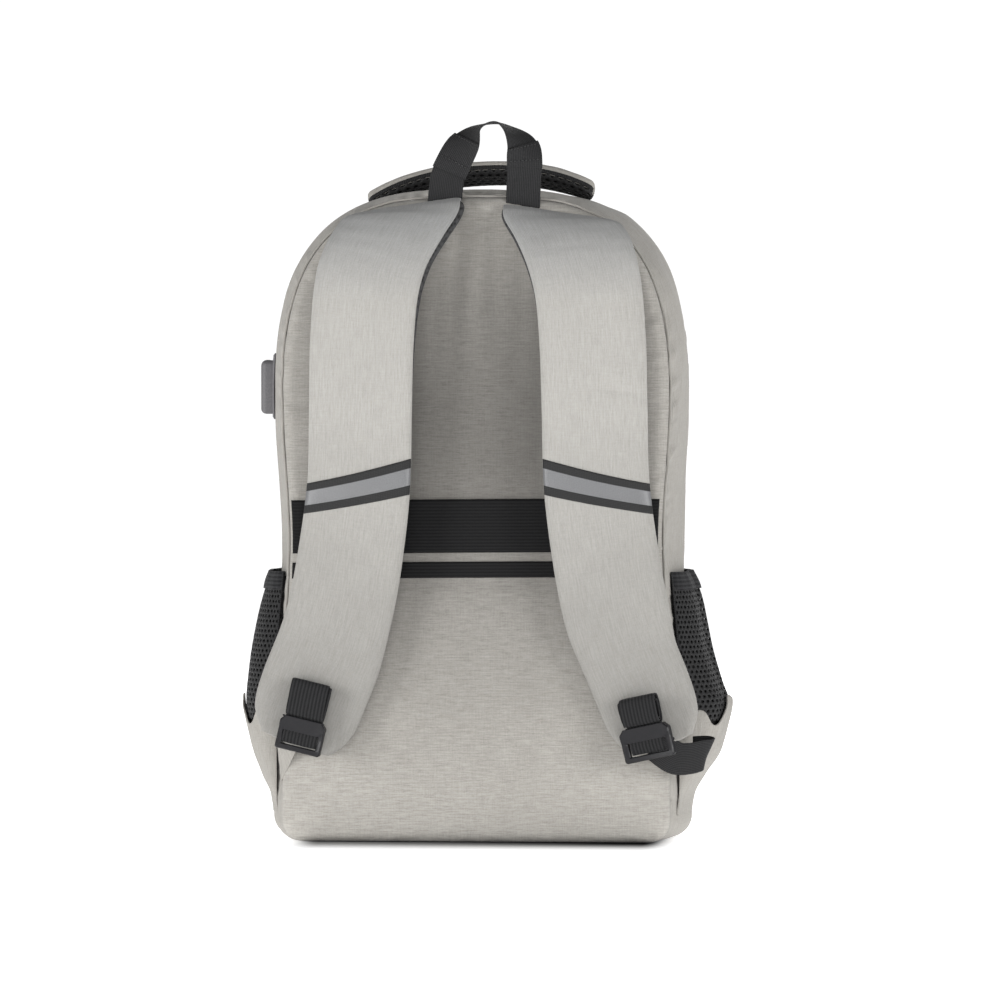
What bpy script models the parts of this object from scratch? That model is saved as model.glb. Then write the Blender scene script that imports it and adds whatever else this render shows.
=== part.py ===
"""Grey solar daypack, standing on its base, zips closed.

Frame: metres, +Z up, origin on the floor under the middle of the bag. The padded back panel and
the shoulder straps face -Y, the solar panel faces +Y, and +X is to the right seen from the back.
"""

import math

import bmesh
import bpy
from mathutils import Euler, Matrix, Vector

# ---------------------------------------------------------------- driving dimensions (metres)
GAP = 0.0003  # between pieces that touch
FABRIC = 0.0022  # lined shell fabric
PANEL_BACK_Y = -0.085  # outer face of the padded back panel
PANEL_THICK = 0.010
REAR_Y = PANEL_BACK_Y + PANEL_THICK
FRONT_Y = 0.070  # inner face of the front panel
FRONT_THICK = 0.006
MIDDLE_Y = -0.005  # where the bag is widest and tallest
ZIP_Y = 0.020  # rear edge of the main zip
ZIP_TAPE = 0.0052
ZIP_COIL = 0.0034
FOLD_Z = 0.212  # the main zip ends and the front folds here
BASE_Z = 0.030  # the base panel's side height
SHOULDER_Z = 0.300  # straight sides below, arch above
ARCH_POWER = 3.1
HALF_WIDTH = {"rear": 0.143, "middle": 0.156, "front": 0.138}
TOP_Z = {"rear": 0.474, "middle": 0.484, "front": 0.456}
WAIST = 0.006  # how far the sides pull in
WAIST_Z = 0.220
WAIST_SPREAD = 0.070
CORNER = 0.022  # base corner radius
WEB_WIDTH = 0.025
WEB_THICK = 0.0018

STRAP_THICK = 0.011
POCKET_MID_Y = -0.005
POCKET_HALF_DEPTH = 0.056
POCKET_STEPS = 10
POCKET_EDGE = 0.0028  # the pockets' edges stand this far off the wall

SOLAR_X = 0.078  # half width of the solar panel
SOLAR_Z = (0.226, 0.432)
SOLAR_COLUMNS = 2
SOLAR_ROWS = 3

COLOURS = {
    "grey_fabric": ((0.46, 0.44, 0.41), 0.92, 0.0),
    "black_webbing": ((0.030, 0.030, 0.032), 0.80, 0.0),
    "black_mesh": ((0.020, 0.020, 0.021), 0.90, 0.0),
    "black_plastic": ((0.035, 0.034, 0.037), 0.42, 0.0),
    "reflective_tape": ((0.34, 0.34, 0.35), 0.45, 0.0),
    "foam": ((0.10, 0.10, 0.11), 0.95, 0.0),
    "lining": ((0.055, 0.055, 0.060), 0.75, 0.0),
    "solar_cell": ((0.010, 0.014, 0.035), 0.22, 0.0),
    "clear_laminate": ((0.60, 0.62, 0.66), 0.12, 0.0),
    "steel": ((0.62, 0.62, 0.64), 0.28, 1.0),
}

LEFT = -1
RIGHT = 1
SIDES = {"left": LEFT, "right": RIGHT}


# ---------------------------------------------------------------- scene helpers
def clear_scene():
    for obj in list(bpy.data.objects):
        bpy.data.objects.remove(obj)


def collection(name):
    made = bpy.data.collections.new(name)
    bpy.context.scene.collection.children.link(made)
    return made


def materials():
    made = {}
    for name, (colour, roughness, metallic) in COLOURS.items():
        material = bpy.data.materials.new(name)
        material.use_nodes = True
        shader = material.node_tree.nodes["Principled BSDF"]
        shader.inputs["Base Color"].default_value = (*colour, 1.0)
        shader.inputs["Roughness"].default_value = roughness
        shader.inputs["Metallic"].default_value = metallic
        made[name] = material
    return made


def add_object(name, mesh, material):
    obj = bpy.data.objects.new(name, mesh)
    PARTS.objects.link(obj)
    mesh.materials.append(MATERIALS[material])
    return obj


def grid_mesh(name, rows):
    """A quad surface through rows of points, each row the same length."""
    mesh = bpy.data.meshes.new(name)
    made = bmesh.new()
    grid = [[made.verts.new(point) for point in row] for row in rows]
    for first, second in zip(grid, grid[1:]):
        for i in range(len(first) - 1):
            made.faces.new((first[i], first[i + 1], second[i + 1], second[i]))
    bmesh.ops.recalc_face_normals(made, faces=made.faces)
    made.to_mesh(mesh)
    made.free()
    return mesh


def solidify(obj, thickness, offset):
    modifier = obj.modifiers.new("thickness", "SOLIDIFY")
    modifier.thickness = thickness
    modifier.offset = offset
    modifier.use_even_offset = True


def bevel(obj, width, segments=2, angle=40):
    modifier = obj.modifiers.new("rounded_edges", "BEVEL")
    modifier.width = width
    modifier.segments = segments
    modifier.limit_method = "ANGLE"
    modifier.angle_limit = math.radians(angle)


def smooth(obj, angle=40):
    obj.data.shade_smooth()
    obj.data.set_sharp_from_angle(angle=math.radians(angle))
    return obj


def shell(name, rows, thickness, material, outwards):
    """A sheet of fabric on rows of points, thickened away from the outwards direction."""
    obj = add_object(name, grid_mesh(name, rows), material)
    faces = obj.data.polygons
    middle = faces[len(faces) // 2]
    if middle.normal.dot(outwards(middle.center)) < 0:
        obj.data.flip_normals()
    solidify(obj, thickness, -1)
    return smooth(obj)


def ribbon(name, spine, halves, thickness, material, rounding=0.0):
    """A strap or band: spine points, and at each the vector from its middle to its edge."""
    rows = [[p - h, p, p + h] for p, h in zip(spine, halves)]
    obj = add_object(name, grid_mesh(name, rows), material)
    solidify(obj, thickness, 0)
    if rounding:
        bevel(obj, rounding)
    return smooth(obj)


def plate(name, outline, y_low, y_high, material, rounding=0.0):
    """A flat piece with an XZ outline, between two y planes."""
    mesh = bpy.data.meshes.new(name)
    made = bmesh.new()
    made.faces.new([made.verts.new((x, y_high, z)) for x, z in outline])
    bmesh.ops.recalc_face_normals(made, faces=made.faces)
    made.faces.ensure_lookup_table()
    if made.faces[0].normal.y < 0:
        bmesh.ops.reverse_faces(made, faces=made.faces)
    made.to_mesh(mesh)
    made.free()
    obj = add_object(name, mesh, material)
    solidify(obj, y_high - y_low, -1)
    if rounding:
        bevel(obj, rounding)
    return smooth(obj)


def box(name, low, high, material, rounding=0.0, segments=2):
    mesh = bpy.data.meshes.new(name)
    made = bmesh.new()
    bmesh.ops.create_cube(made, size=1.0)
    low, high = Vector(low), Vector(high)
    for vertex in made.verts:
        vertex.co = [(high[k] - low[k]) * vertex.co[k] for k in range(3)]
    made.to_mesh(mesh)
    made.free()
    obj = add_object(name, mesh, material)
    obj.location = (low + high) / 2
    if rounding:
        bevel(obj, rounding, segments)
    return smooth(obj)


def cut(obj, low, high, rounding=0.0):
    """Takes a box-shaped opening out of a piece."""
    cutter = box(f"cut_{obj.name}_{len(obj.modifiers)}", low, high, "black_plastic", rounding, 3)
    PARTS.objects.unlink(cutter)
    CUTTERS.objects.link(cutter)
    cutter.hide_render = True
    cutter.display_type = "WIRE"
    modifier = obj.modifiers.new("opening", "BOOLEAN")
    modifier.operation = "DIFFERENCE"
    modifier.object = cutter


# ---------------------------------------------------------------- the bag's outline
def between(values, y):
    """A size that is greatest at the bag's middle and eases off to its rear and front faces."""
    side = "rear" if y < MIDDLE_Y else "front"
    reach = (MIDDLE_Y - REAR_Y) if side == "rear" else (FRONT_Y - MIDDLE_Y)
    share = min(1.0, abs(y - MIDDLE_Y) / reach)
    return values["middle"] + (values[side] - values["middle"]) * share**2


def half_width(y, z):
    """Half the bag's width at a depth and height."""
    widest = between(HALF_WIDTH, y) - WAIST * math.exp(-(((z - WAIST_Z) / WAIST_SPREAD) ** 2))
    if z > SHOULDER_Z:
        up = min(1.0, (z - SHOULDER_Z) / (between(TOP_Z, y) - SHOULDER_Z))
        return widest * (1 - up**ARCH_POWER) ** (1 / ARCH_POWER)
    if z < CORNER:
        return widest - CORNER + math.sqrt(CORNER**2 - (CORNER - z) ** 2)
    return widest


def arch(y, z_from, side_steps=4, arch_steps=9):
    """Points up the left side from z_from, over the top, and down the right."""
    start = max(z_from, CORNER)
    heights = [start + (SHOULDER_Z - start) * i / side_steps for i in range(side_steps)]
    left = [(-half_width(y, z), z) for z in heights] if z_from < SHOULDER_Z else []
    top = between(TOP_Z, y)
    for i in range(arch_steps):
        z = SHOULDER_Z + (top - SHOULDER_Z) * math.sin(math.pi / 2 * i / arch_steps) ** (2 / ARCH_POWER)
        left.append((-half_width(y, z), z))
    return left + [(0.0, top)] + [(-x, z) for x, z in reversed(left)]


def base_turn(y, z_to, steps=4):
    """Points down the left side from z_to, round the base corner, and mirrored up the right."""
    left = [(-half_width(y, z_to), z_to)]
    for i in range(steps + 1):
        angle = math.pi / 2 * i / steps
        inner = half_width(y, CORNER) - CORNER
        left.append((-inner - CORNER * math.cos(angle), CORNER - CORNER * math.sin(angle)))
    return left + [(-x, z) for x, z in reversed(left)]


def tub_outline(y, z_top, side_steps=5):
    """The closed outline of the bag's lower part, flat across at z_top."""
    heights = [z_top + (BASE_Z - z_top) * i / side_steps for i in range(side_steps)]
    left = [(-half_width(y, z), z) for z in heights]
    return left + base_turn(y, BASE_Z) + [(-x, z) for x, z in reversed(left)]


def sideways(point):
    return Vector((point.x, 0, 0))


def depth_steps(y_from, y_to, steps):
    return [y_from + (y_to - y_from) * i / steps for i in range(steps + 1)]


def arch_shell(name, y_from, y_to, z_from, steps, material, thickness=FABRIC, proud=0.0):
    """A band of the bag's wall round its sides and top."""
    rows = []
    for y in depth_steps(y_from, y_to, steps):
        row = []
        for x, z in arch(y, z_from):
            out = Vector((x, 0, max(0.0, z - SHOULDER_Z))).normalized() * proud
            row.append((x + out.x, y, z + out.z))
        rows.append(row)
    return shell(name, rows, thickness, material, lambda p: Vector((p.x, 0, p.z - SHOULDER_Z)))


def full_outline(y, inset=0.0):
    """The closed outline of the bag at one depth, pulled in by inset."""
    points = arch(y, CORNER) + base_turn(y, BASE_Z)[-2:0:-1]
    centre = Vector((0, SHOULDER_Z / 2 + 0.07))
    made = []
    for x, z in points:
        ray = Vector((x, z)) - centre
        ray *= 1 - inset / ray.length
        made.append((centre.x + ray.x, centre.y + ray.y))
    return made


# ---------------------------------------------------------------- bag shell
def bag_shell():
    plate("back_panel", full_outline(REAR_Y), PANEL_BACK_Y, REAR_Y - GAP, "grey_fabric", 0.0035)
    arch_shell("rear_gusset", REAR_Y + 0.0007, ZIP_Y - 0.0007, BASE_Z + GAP, 6, "grey_fabric")
    rows = [
        [(x, y, z) for x, z in base_turn(y, BASE_Z)]
        for y in depth_steps(REAR_Y + 0.0007, FRONT_Y - 0.0007, 8)
    ]
    shell("base_panel", rows, FABRIC, "grey_fabric", lambda p: Vector((p.x, 0, p.z - 0.5)))
    inner = [(x, z) for x, z in full_outline(REAR_Y, 0.012)]
    plate("back_foam", inner, REAR_Y + 0.0004, REAR_Y + 0.0055, "foam")


def seam_piping():
    """The raised seam where the back panel meets the gusset, as a thin cord round the arch."""
    data = bpy.data.curves.new("seam_piping", "CURVE")
    data.dimensions = "3D"
    data.bevel_depth = 0.0016
    data.bevel_resolution = 1
    data.use_fill_caps = True
    points = [(x, REAR_Y - 0.0002, z) for x, z in arch(REAR_Y, 0.060, 3, 9)]
    spline = data.splines.new("POLY")
    spline.points.add(len(points) - 1)
    for target, (x, y, z) in zip(spline.points, points):
        out = Vector((x, 0, max(0.0, z - SHOULDER_Z))).normalized() * 0.0026
        target.co = (x + out.x, y, z + out.z, 1.0)
    data.materials.append(MATERIALS["grey_fabric"])
    PARTS.objects.link(bpy.data.objects.new("seam_piping", data))


def main_zip():
    """Two woven tapes with the nylon coil between them, from side to side over the top."""
    start = FOLD_Z + 0.0015
    coil_y = ZIP_Y + ZIP_TAPE + GAP
    arch_shell("zip_tape_rear", ZIP_Y, ZIP_Y + ZIP_TAPE, start, 1, "black_webbing", 0.0016)
    arch_shell("zip_coil", coil_y, coil_y + ZIP_COIL, start, 1, "black_plastic", 0.0022, 0.0004)
    front_y = coil_y + ZIP_COIL + GAP
    arch_shell("zip_tape_front", front_y, front_y + ZIP_TAPE, start, 1, "black_webbing", 0.0016)
    return front_y + ZIP_TAPE + 0.0007


def front_shell(gusset_y):
    """The hinged front above the fold, and the fixed tub below it."""
    arch_shell("front_gusset", gusset_y, FRONT_Y - 0.0007, FOLD_Z + 0.0015, 4, "grey_fabric")
    upper = arch(FRONT_Y, FOLD_Z + 0.0015)
    plate("front_panel", upper, FRONT_Y + GAP, FRONT_Y + FRONT_THICK, "grey_fabric", 0.0025)
    lower = tub_outline(FRONT_Y, FOLD_Z - 0.0005)
    plate("front_panel_lower", lower, FRONT_Y + GAP, FRONT_Y + FRONT_THICK, "grey_fabric", 0.0025)
    for side, sign in SIDES.items():
        rows = []
        for y in depth_steps(ZIP_Y + GAP, FRONT_Y - 0.0007, 4):
            heights = [BASE_Z + 0.0006 + (FOLD_Z - BASE_Z - 0.0012) * i / 4 for i in range(5)]
            rows.append([(sign * half_width(y, z), y, z) for z in heights])
        shell(f"lower_gusset_{side}", rows, FABRIC, "grey_fabric", sideways)


def inside():
    box("laptop_sleeve", (-0.118, -0.0480, 0.026), (0.118, -0.0440, 0.290), "lining", 0.001, 1)
    box("sleeve_strap", (-0.019, -0.0500, 0.2925), (0.019, -0.0470, 0.3150), "black_webbing", 0.001, 1)


# ---------------------------------------------------------------- back details
def back_bands():
    for name, low, high in (("luggage_band", 0.2150, 0.2560), ("lower_band", 0.1965, 0.2085)):
        spine = [Vector((x / 5 * 0.136, PANEL_BACK_Y - 0.0015, (low + high) / 2)) for x in range(-5, 6)]
        halves = [Vector((0, 0, (high - low) / 2))] * len(spine)
        ribbon(name, spine, halves, 0.0018, "black_webbing")


# ---------------------------------------------------------------- side pockets
def pocket_bulge(z):
    """How far a pocket stands off the bag's side at its fullest."""
    widest_z = 0.106
    if z > widest_z:
        return 0.026 - 0.015 * ((z - widest_z) / 0.100) ** 1.3
    return 0.026 - 0.023 * ((widest_z - z) / 0.082) ** 1.25


def pocket_rows(sign, z_from, z_to, steps):
    rows = []
    for i in range(steps + 1):
        z = z_from + (z_to - z_from) * i / steps
        row = []
        for k in range(POCKET_STEPS + 1):
            angle = math.pi * k / POCKET_STEPS
            y = POCKET_MID_Y - POCKET_HALF_DEPTH * math.cos(angle)
            stand = pocket_bulge(z) * max(0.0, math.sin(angle)) ** 0.85
            out = POCKET_EDGE + (stand if 0 < k < POCKET_STEPS else 0.0)
            row.append((sign * (half_width(y, z) + out), y, z))
        rows.append(row)
    return rows


def side_pockets():
    for side, sign in SIDES.items():
        mesh_rows = pocket_rows(sign, 0.1045, 0.1980, 6)
        shell(f"pocket_mesh_{side}", mesh_rows, 0.0014, "black_mesh", sideways)
        binding_rows = pocket_rows(sign, 0.1984, 0.2090, 1)
        shell(f"pocket_binding_{side}", binding_rows, 0.0022, "black_webbing", sideways)
        base_rows = pocket_rows(sign, 0.0245, 0.1041, 6)
        shell(f"pocket_base_{side}", base_rows, 0.0014, "grey_fabric", sideways)


# ---------------------------------------------------------------- shoulder straps
STRAP_PATH = (  # middle line of the right strap from its top seam down: x, y, z, half width
    (0.0530, -0.0925, 0.4680, 0.0410),
    (0.0645, -0.1010, 0.4540, 0.0405),
    (0.0745, -0.1080, 0.4330, 0.0395),
    (0.0800, -0.1110, 0.4050, 0.0385),
    (0.0830, -0.1105, 0.3650, 0.0380),
    (0.0842, -0.1085, 0.3150, 0.0378),
    (0.0855, -0.1065, 0.2650, 0.0378),
    (0.0915, -0.1050, 0.2200, 0.0380),
    (0.0990, -0.1030, 0.1780, 0.0378),
    (0.1090, -0.1005, 0.1430, 0.0365),
    (0.1180, -0.0985, 0.1160, 0.0335),
    (0.1245, -0.0970, 0.0970, 0.0280),
    (0.1280, -0.0965, 0.0850, 0.0200),
)
STRAP_SQUARE = 0.070  # from its top seam, the length over which the strap turns square to its run


def catmull_value(t, a, b, c, d):
    square = 2 * a - 5 * b + 4 * c - d
    cube = 3 * b - a - 3 * c + d
    return 0.5 * (2 * b + (c - a) * t + square * t**2 + cube * t**3)


def catmull(points, per_span):
    """A smooth line through every point."""
    made = []
    for i in range(len(points) - 1):
        p0, p1, p2, p3 = (points[min(max(i + k, 0), len(points) - 1)] for k in (-1, 0, 1, 2))
        for step in range(per_span):
            t = step / per_span
            made.append(tuple(catmull_value(t, *values) for values in zip(p0, p1, p2, p3)))
    return made + [points[-1]]


def strap_frames(sign, per_span=2):
    """Middle points of a strap and, at each, the vectors to its outer edge and out of its face."""
    rows = catmull(STRAP_PATH, per_span)
    middles = [Vector((sign * x, y, z)) for x, y, z, _ in rows]
    edges, faces = [], []
    done = 0.0
    for i, (_, _, _, half) in enumerate(rows):
        run = (middles[min(i + 1, len(rows) - 1)] - middles[max(i - 1, 0)]).normalized()
        done += (middles[i] - middles[max(i - 1, 0)]).length
        across = Vector((-run.z, 0, run.x)).normalized()
        turned = min(1.0, done / STRAP_SQUARE)
        across = Vector((1, 0, 0)).lerp(across, turned).normalized()
        edges.append(across * half)
        faces.append(run.cross(across).normalized())
    return middles, edges, faces


def straps():
    for side, sign in SIDES.items():
        middles, edges, faces = strap_frames(sign)
        face = [m + n * 0.0022 for m, n in zip(middles, faces)]
        ribbon(f"strap_pad_{side}", face, edges, STRAP_THICK - 0.0044, "grey_fabric", 0.0025)
        lining = [m - n * 0.0031 for m, n in zip(middles, faces)]
        ribbon(f"strap_lining_{side}", lining, [e * 0.97 for e in edges], 0.0022, "black_mesh")
        reflective_band(side, sign)


def strap_at(z):
    """x, y and half width of the right strap at a height."""
    rows = catmull(STRAP_PATH, 6)
    return min(rows, key=lambda row: abs(row[2] - z))


def reflective_band(side, sign):
    """The sewn reflective tape across the strap, rising towards the bag's middle."""
    inner_z, outer_z, half_tall = 0.2700, 0.2480, 0.0135
    spine = []
    for i in range(7):
        share = i / 6
        z = inner_z + (outer_z - inner_z) * share
        x, y, _, half = strap_at(z)
        spine.append(Vector((sign * (x - half + 2 * half * share), y - 0.0074, z)))
    ribbon(f"reflective_band_{side}", spine, [Vector((0, 0, half_tall))] * 7, 0.0009, "reflective_tape")


# ---------------------------------------------------------------- buckles and webbing
BUCKLE_AT = Vector((0.1240, -0.1115, 0.0805))  # middle of the right buckle
BUCKLE_LEAN = math.radians(14)  # how far its lower end swings outwards
BUCKLE_HALF = Vector((0.0175, 0.0026, 0.0115))


def lean(obj, sign):
    """Turns a piece modelled upright about the buckle's middle to the buckle's lean."""
    obj.rotation_euler = (0, -sign * BUCKLE_LEAN, 0)
    offset = obj.location - Vector((sign * BUCKLE_AT.x, BUCKLE_AT.y, BUCKLE_AT.z))
    offset.rotate(obj.rotation_euler)
    obj.location = Vector((sign * BUCKLE_AT.x, BUCKLE_AT.y, BUCKLE_AT.z)) + offset


def buckles():
    for side, sign in SIDES.items():
        at = Vector((sign * BUCKLE_AT.x, BUCKLE_AT.y, BUCKLE_AT.z))
        frame = box(f"buckle_{side}", at - BUCKLE_HALF, at + BUCKLE_HALF, "black_plastic", 0.0012, 1)
        window = Vector((WEB_WIDTH / 2 + 0.0008, 0.01, 0.0050))
        drop = Vector((0, 0, -0.0030))
        cut(frame, drop - window, drop + window)
        window_cutter = frame.modifiers[-1].object
        window_cutter.location += at
        lean(window_cutter, sign)
        lean(frame, sign)
        half = WEB_WIDTH / 2
        roll_low = at + Vector((-half, -0.0065, 0.0130))
        roll_high = at + Vector((half, 0.0025, 0.0320))
        lean(box(f"webbing_roll_{side}", roll_low, roll_high, "black_webbing", 0.0040, 3), sign)
        tongue_low = at + Vector((-half, -0.0012, -0.0076))
        tongue_high = at + Vector((half, 0.0012, 0.0016))
        lean(box(f"webbing_turn_{side}", tongue_low, tongue_high, "black_webbing"), sign)


def lower_webbing():
    """From the side seam near the base to just under each buckle."""
    for side, sign in SIDES.items():
        path = (
            (0.1470, -0.0868, 0.0600, 0.0120),
            (0.1450, -0.0905, 0.0605, 0.0125),
            (0.1390, -0.0975, 0.0620, 0.0125),
            (0.1330, -0.1030, 0.0640, 0.0125),
        )
        rows = catmull(path, 3)
        spine = [Vector((sign * x, y, z)) for x, y, z, _ in rows]
        across = Vector((sign * 0.42, 0, 0.91)).normalized()
        halves = [across * half for _, _, _, half in rows]
        ribbon(f"lower_webbing_{side}", spine, halves, WEB_THICK, "black_webbing")


# ---------------------------------------------------------------- top: handle and grab loop
HANDLE_HALF = 0.086
HANDLE_Y = 0.000
HANDLE_END_Z = 0.4810
HANDLE_RISE = 0.0165
HANDLE_TILT = math.radians(17)


def handle_line(lift, steps=14):
    """Points along the carry handle's arch, lifted off its middle line at right angles to it."""
    points = []
    for i in range(steps + 1):
        share = -1 + 2 * i / steps
        rise = HANDLE_RISE * (1 - abs(share) ** 2.4)
        slope = -HANDLE_RISE * 2.4 * abs(share) ** 1.4 * (1 if share > 0 else -1) / HANDLE_HALF
        away = Vector((-slope, 0, 1)).normalized() * lift
        points.append(Vector((HANDLE_HALF * share, HANDLE_Y, HANDLE_END_Z + rise)) + away)
    return points


def carry_handle():
    across = Vector((0, math.cos(HANDLE_TILT), -math.sin(HANDLE_TILT))) * 0.0165
    halves = [across * (1 - 0.4 * abs(-1 + i / 7) ** 6) for i in range(15)]
    ribbon("handle_cover", handle_line(0.0060), halves, 0.0062, "grey_fabric", 0.002)
    ribbon("handle_mesh_underside", handle_line(0.0006), halves, 0.0036, "black_mesh")


LOOP_PATH = (  # grab loop middle line: x, y, z, and how far the webbing has turned to lie flat
    (-0.0285, -0.0800, 0.4745, 0),
    (-0.0265, -0.0805, 0.4880, 0),
    (-0.0210, -0.0805, 0.5010, 5),
    (-0.0125, -0.0790, 0.5160, 25),
    (-0.0030, -0.0780, 0.5275, 62),
    (0.0085, -0.0775, 0.5335, 90),
    (0.0190, -0.0780, 0.5290, 112),
    (0.0270, -0.0790, 0.5170, 150),
    (0.0300, -0.0805, 0.5020, 176),
    (0.0295, -0.0805, 0.4880, 180),
    (0.0290, -0.0800, 0.4745, 180),
)


def grab_loop():
    rows = catmull(LOOP_PATH, 2)
    spine = [Vector(row[:3]) for row in rows]
    halves = []
    for _, _, _, turn in rows:
        turned = math.radians(turn)
        halves.append(Vector((-math.cos(turned), math.sin(turned), 0)) * WEB_WIDTH / 2)
    ribbon("grab_loop", spine, halves, WEB_THICK, "black_webbing")


# ---------------------------------------------------------------- USB port
USB_Z = (0.3150, 0.3555)
USB_Y = (-0.0180, 0.0060)
USB_OUT = 0.0105


def usb_port():
    """Hooded plastic housing on the left side, its socket facing down."""
    wall = -max(half_width(y, z) for y in USB_Y + (MIDDLE_Y,) for z in USB_Z) - 0.0005
    low = (wall - USB_OUT, USB_Y[0], USB_Z[0])
    high = (wall, USB_Y[1], USB_Z[1])
    housing = box("usb_housing", low, high, "black_plastic", 0.0025, 3)
    middle = (wall - USB_OUT / 2, sum(USB_Y) / 2)
    half = (0.0034, 0.0070)
    mouth_low = (middle[0] - half[0], middle[1] - half[1], USB_Z[0] - 0.004)
    mouth_high = (middle[0] + half[0], middle[1] + half[1], USB_Z[0] + 0.0165)
    cut(housing, mouth_low, mouth_high)
    sleeve_half = (half[0] - GAP, half[1] - GAP)
    sleeve_low = (middle[0] - sleeve_half[0], middle[1] - sleeve_half[1], USB_Z[0] + 0.0010)
    sleeve_high = (middle[0] + sleeve_half[0], middle[1] + sleeve_half[1], USB_Z[0] + 0.0160)
    sleeve = box("usb_socket", sleeve_low, sleeve_high, "steel")
    bore_low = (middle[0] - 0.0026, middle[1] - 0.0062, USB_Z[0] - 0.003)
    bore_high = (middle[0] + 0.0026, middle[1] + 0.0062, USB_Z[0] + 0.0145)
    cut(sleeve, bore_low, bore_high)


# ---------------------------------------------------------------- solar panel on the front
def solar_panel():
    face = FRONT_Y + FRONT_THICK + GAP
    low, high = SOLAR_Z
    box("solar_backing", (-SOLAR_X, face, low), (SOLAR_X, face + 0.0018, high), "lining", 0.0006, 1)
    cell_y = face + 0.0018 + GAP
    margin, spacing = 0.011, 0.003
    wide = (2 * (SOLAR_X - margin) - spacing * (SOLAR_COLUMNS - 1)) / SOLAR_COLUMNS
    tall = (high - low - 2 * margin - spacing * (SOLAR_ROWS - 1)) / SOLAR_ROWS
    for row in range(SOLAR_ROWS):
        for column in range(SOLAR_COLUMNS):
            x = -SOLAR_X + margin + column * (wide + spacing)
            z = low + margin + row * (tall + spacing)
            name = f"solar_cell_{row * SOLAR_COLUMNS + column + 1}"
            box(name, (x, cell_y, z), (x + wide, cell_y + 0.0006, z + tall), "solar_cell")
    border_low = (-SOLAR_X, cell_y, low)
    border_high = (SOLAR_X, cell_y + 0.0026, high)
    border = box("solar_border", border_low, border_high, "black_webbing", 0.0008, 1)
    inner = margin - 0.0010
    window_low = (-SOLAR_X + inner, cell_y - 0.01, low + inner)
    window_high = (SOLAR_X - inner, cell_y + 0.01, high - inner)
    cut(border, window_low, window_high)
    film = inner + GAP
    box(
        "solar_film",
        (-SOLAR_X + film, cell_y + 0.0006 + GAP, low + film),
        (SOLAR_X - film, cell_y + 0.0006 + GAP + 0.0008, high - film),
        "clear_laminate",
    )
    box(
        "charge_controller",
        (-0.032, FRONT_Y - 0.0145, 0.292),
        (0.032, FRONT_Y - 0.0006, 0.348),
        "black_plastic",
        0.002,
    )


# ---------------------------------------------------------------- front pocket
POCKET_X = 0.118
POCKET_Z = (0.018, 0.170)
POCKET_OUT = 0.022


def front_pocket():
    """A low pocket on the front, open at the back against the front panel, its zip on top."""
    face = FRONT_Y + FRONT_THICK + GAP
    outer = face + POCKET_OUT
    behind = face - 0.015
    low = (-POCKET_X, behind, POCKET_Z[0])
    high = (POCKET_X, outer, POCKET_Z[1])
    pouch = box("front_pocket", low, high, "grey_fabric", 0.006, 3)
    cut(pouch, (-0.2, behind - 0.01, POCKET_Z[0] - 0.02), (0.2, face, POCKET_Z[1] + 0.02))
    inner_low = (-POCKET_X + FABRIC, behind - 0.01, POCKET_Z[0] + FABRIC)
    inner_high = (POCKET_X - FABRIC, outer - FABRIC, POCKET_Z[1] - FABRIC)
    cut(pouch, inner_low, inner_high, 0.0040)
    zip_y = outer - 0.0105
    cut(pouch, (-0.100, zip_y - 0.0042, POCKET_Z[1] - 0.006), (0.100, zip_y + 0.0042, POCKET_Z[1] + 0.01))
    tape_low = (-0.0997, zip_y - 0.0039, POCKET_Z[1] - 0.0018)
    tape_high = (0.0997, zip_y + 0.0039, POCKET_Z[1] - 0.0002)
    box("pocket_zip", tape_low, tape_high, "black_webbing")
    return zip_y


# ---------------------------------------------------------------- zip sliders
SLIDER_HALF = Vector((0.0015, 0.0036, 0.0046))
PULL_HALF = Vector((0.0007, 0.0024, 0.0150))
MAIN_SLIDERS = {"upper": (0.3866, -0.0028), "lower": (0.3768, 0.0028)}  # height, and the pull's side shift
POCKET_SLIDER_X = -0.0930


def main_sliders():
    """The two sliders of the closed main zip meet on the left side, their pulls side by side."""
    coil_y = ZIP_Y + ZIP_TAPE + GAP + ZIP_COIL / 2
    for which, (height, shift) in MAIN_SLIDERS.items():
        wall = Vector((-half_width(coil_y, height) - 0.0009, coil_y, height))
        slope = (half_width(coil_y, height - 0.004) - half_width(coil_y, height + 0.004)) / 0.008
        turn = Euler((0, math.atan(slope), 0))
        body = box(f"main_{which}_slider", -SLIDER_HALF, SLIDER_HALF, "black_plastic", 0.0007, 1)
        tab = box(f"main_{which}_pull", -PULL_HALF, PULL_HALF, "black_webbing", 0.0005, 1)
        for obj, offset in ((body, Vector((-0.0019, 0, 0))), (tab, Vector((-0.0046, shift, -0.0120)))):
            offset.rotate(turn)
            obj.location = wall + offset
            obj.rotation_euler = turn


def pocket_slider(zip_y):
    top = POCKET_Z[1]
    low = (POCKET_SLIDER_X - SLIDER_HALF.z, zip_y - SLIDER_HALF.y, top + 0.0004)
    high = (POCKET_SLIDER_X + SLIDER_HALF.z, zip_y + SLIDER_HALF.y, top + 0.0034)
    box("pocket_slider", low, high, "black_plastic", 0.0007, 1)
    low = (POCKET_SLIDER_X - PULL_HALF.y, zip_y - 0.0030, top + 0.0038)
    high = (POCKET_SLIDER_X + PULL_HALF.y, zip_y + 0.0240, top + 0.0052)
    box("pocket_pull", low, high, "black_webbing", 0.0005, 1)


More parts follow.
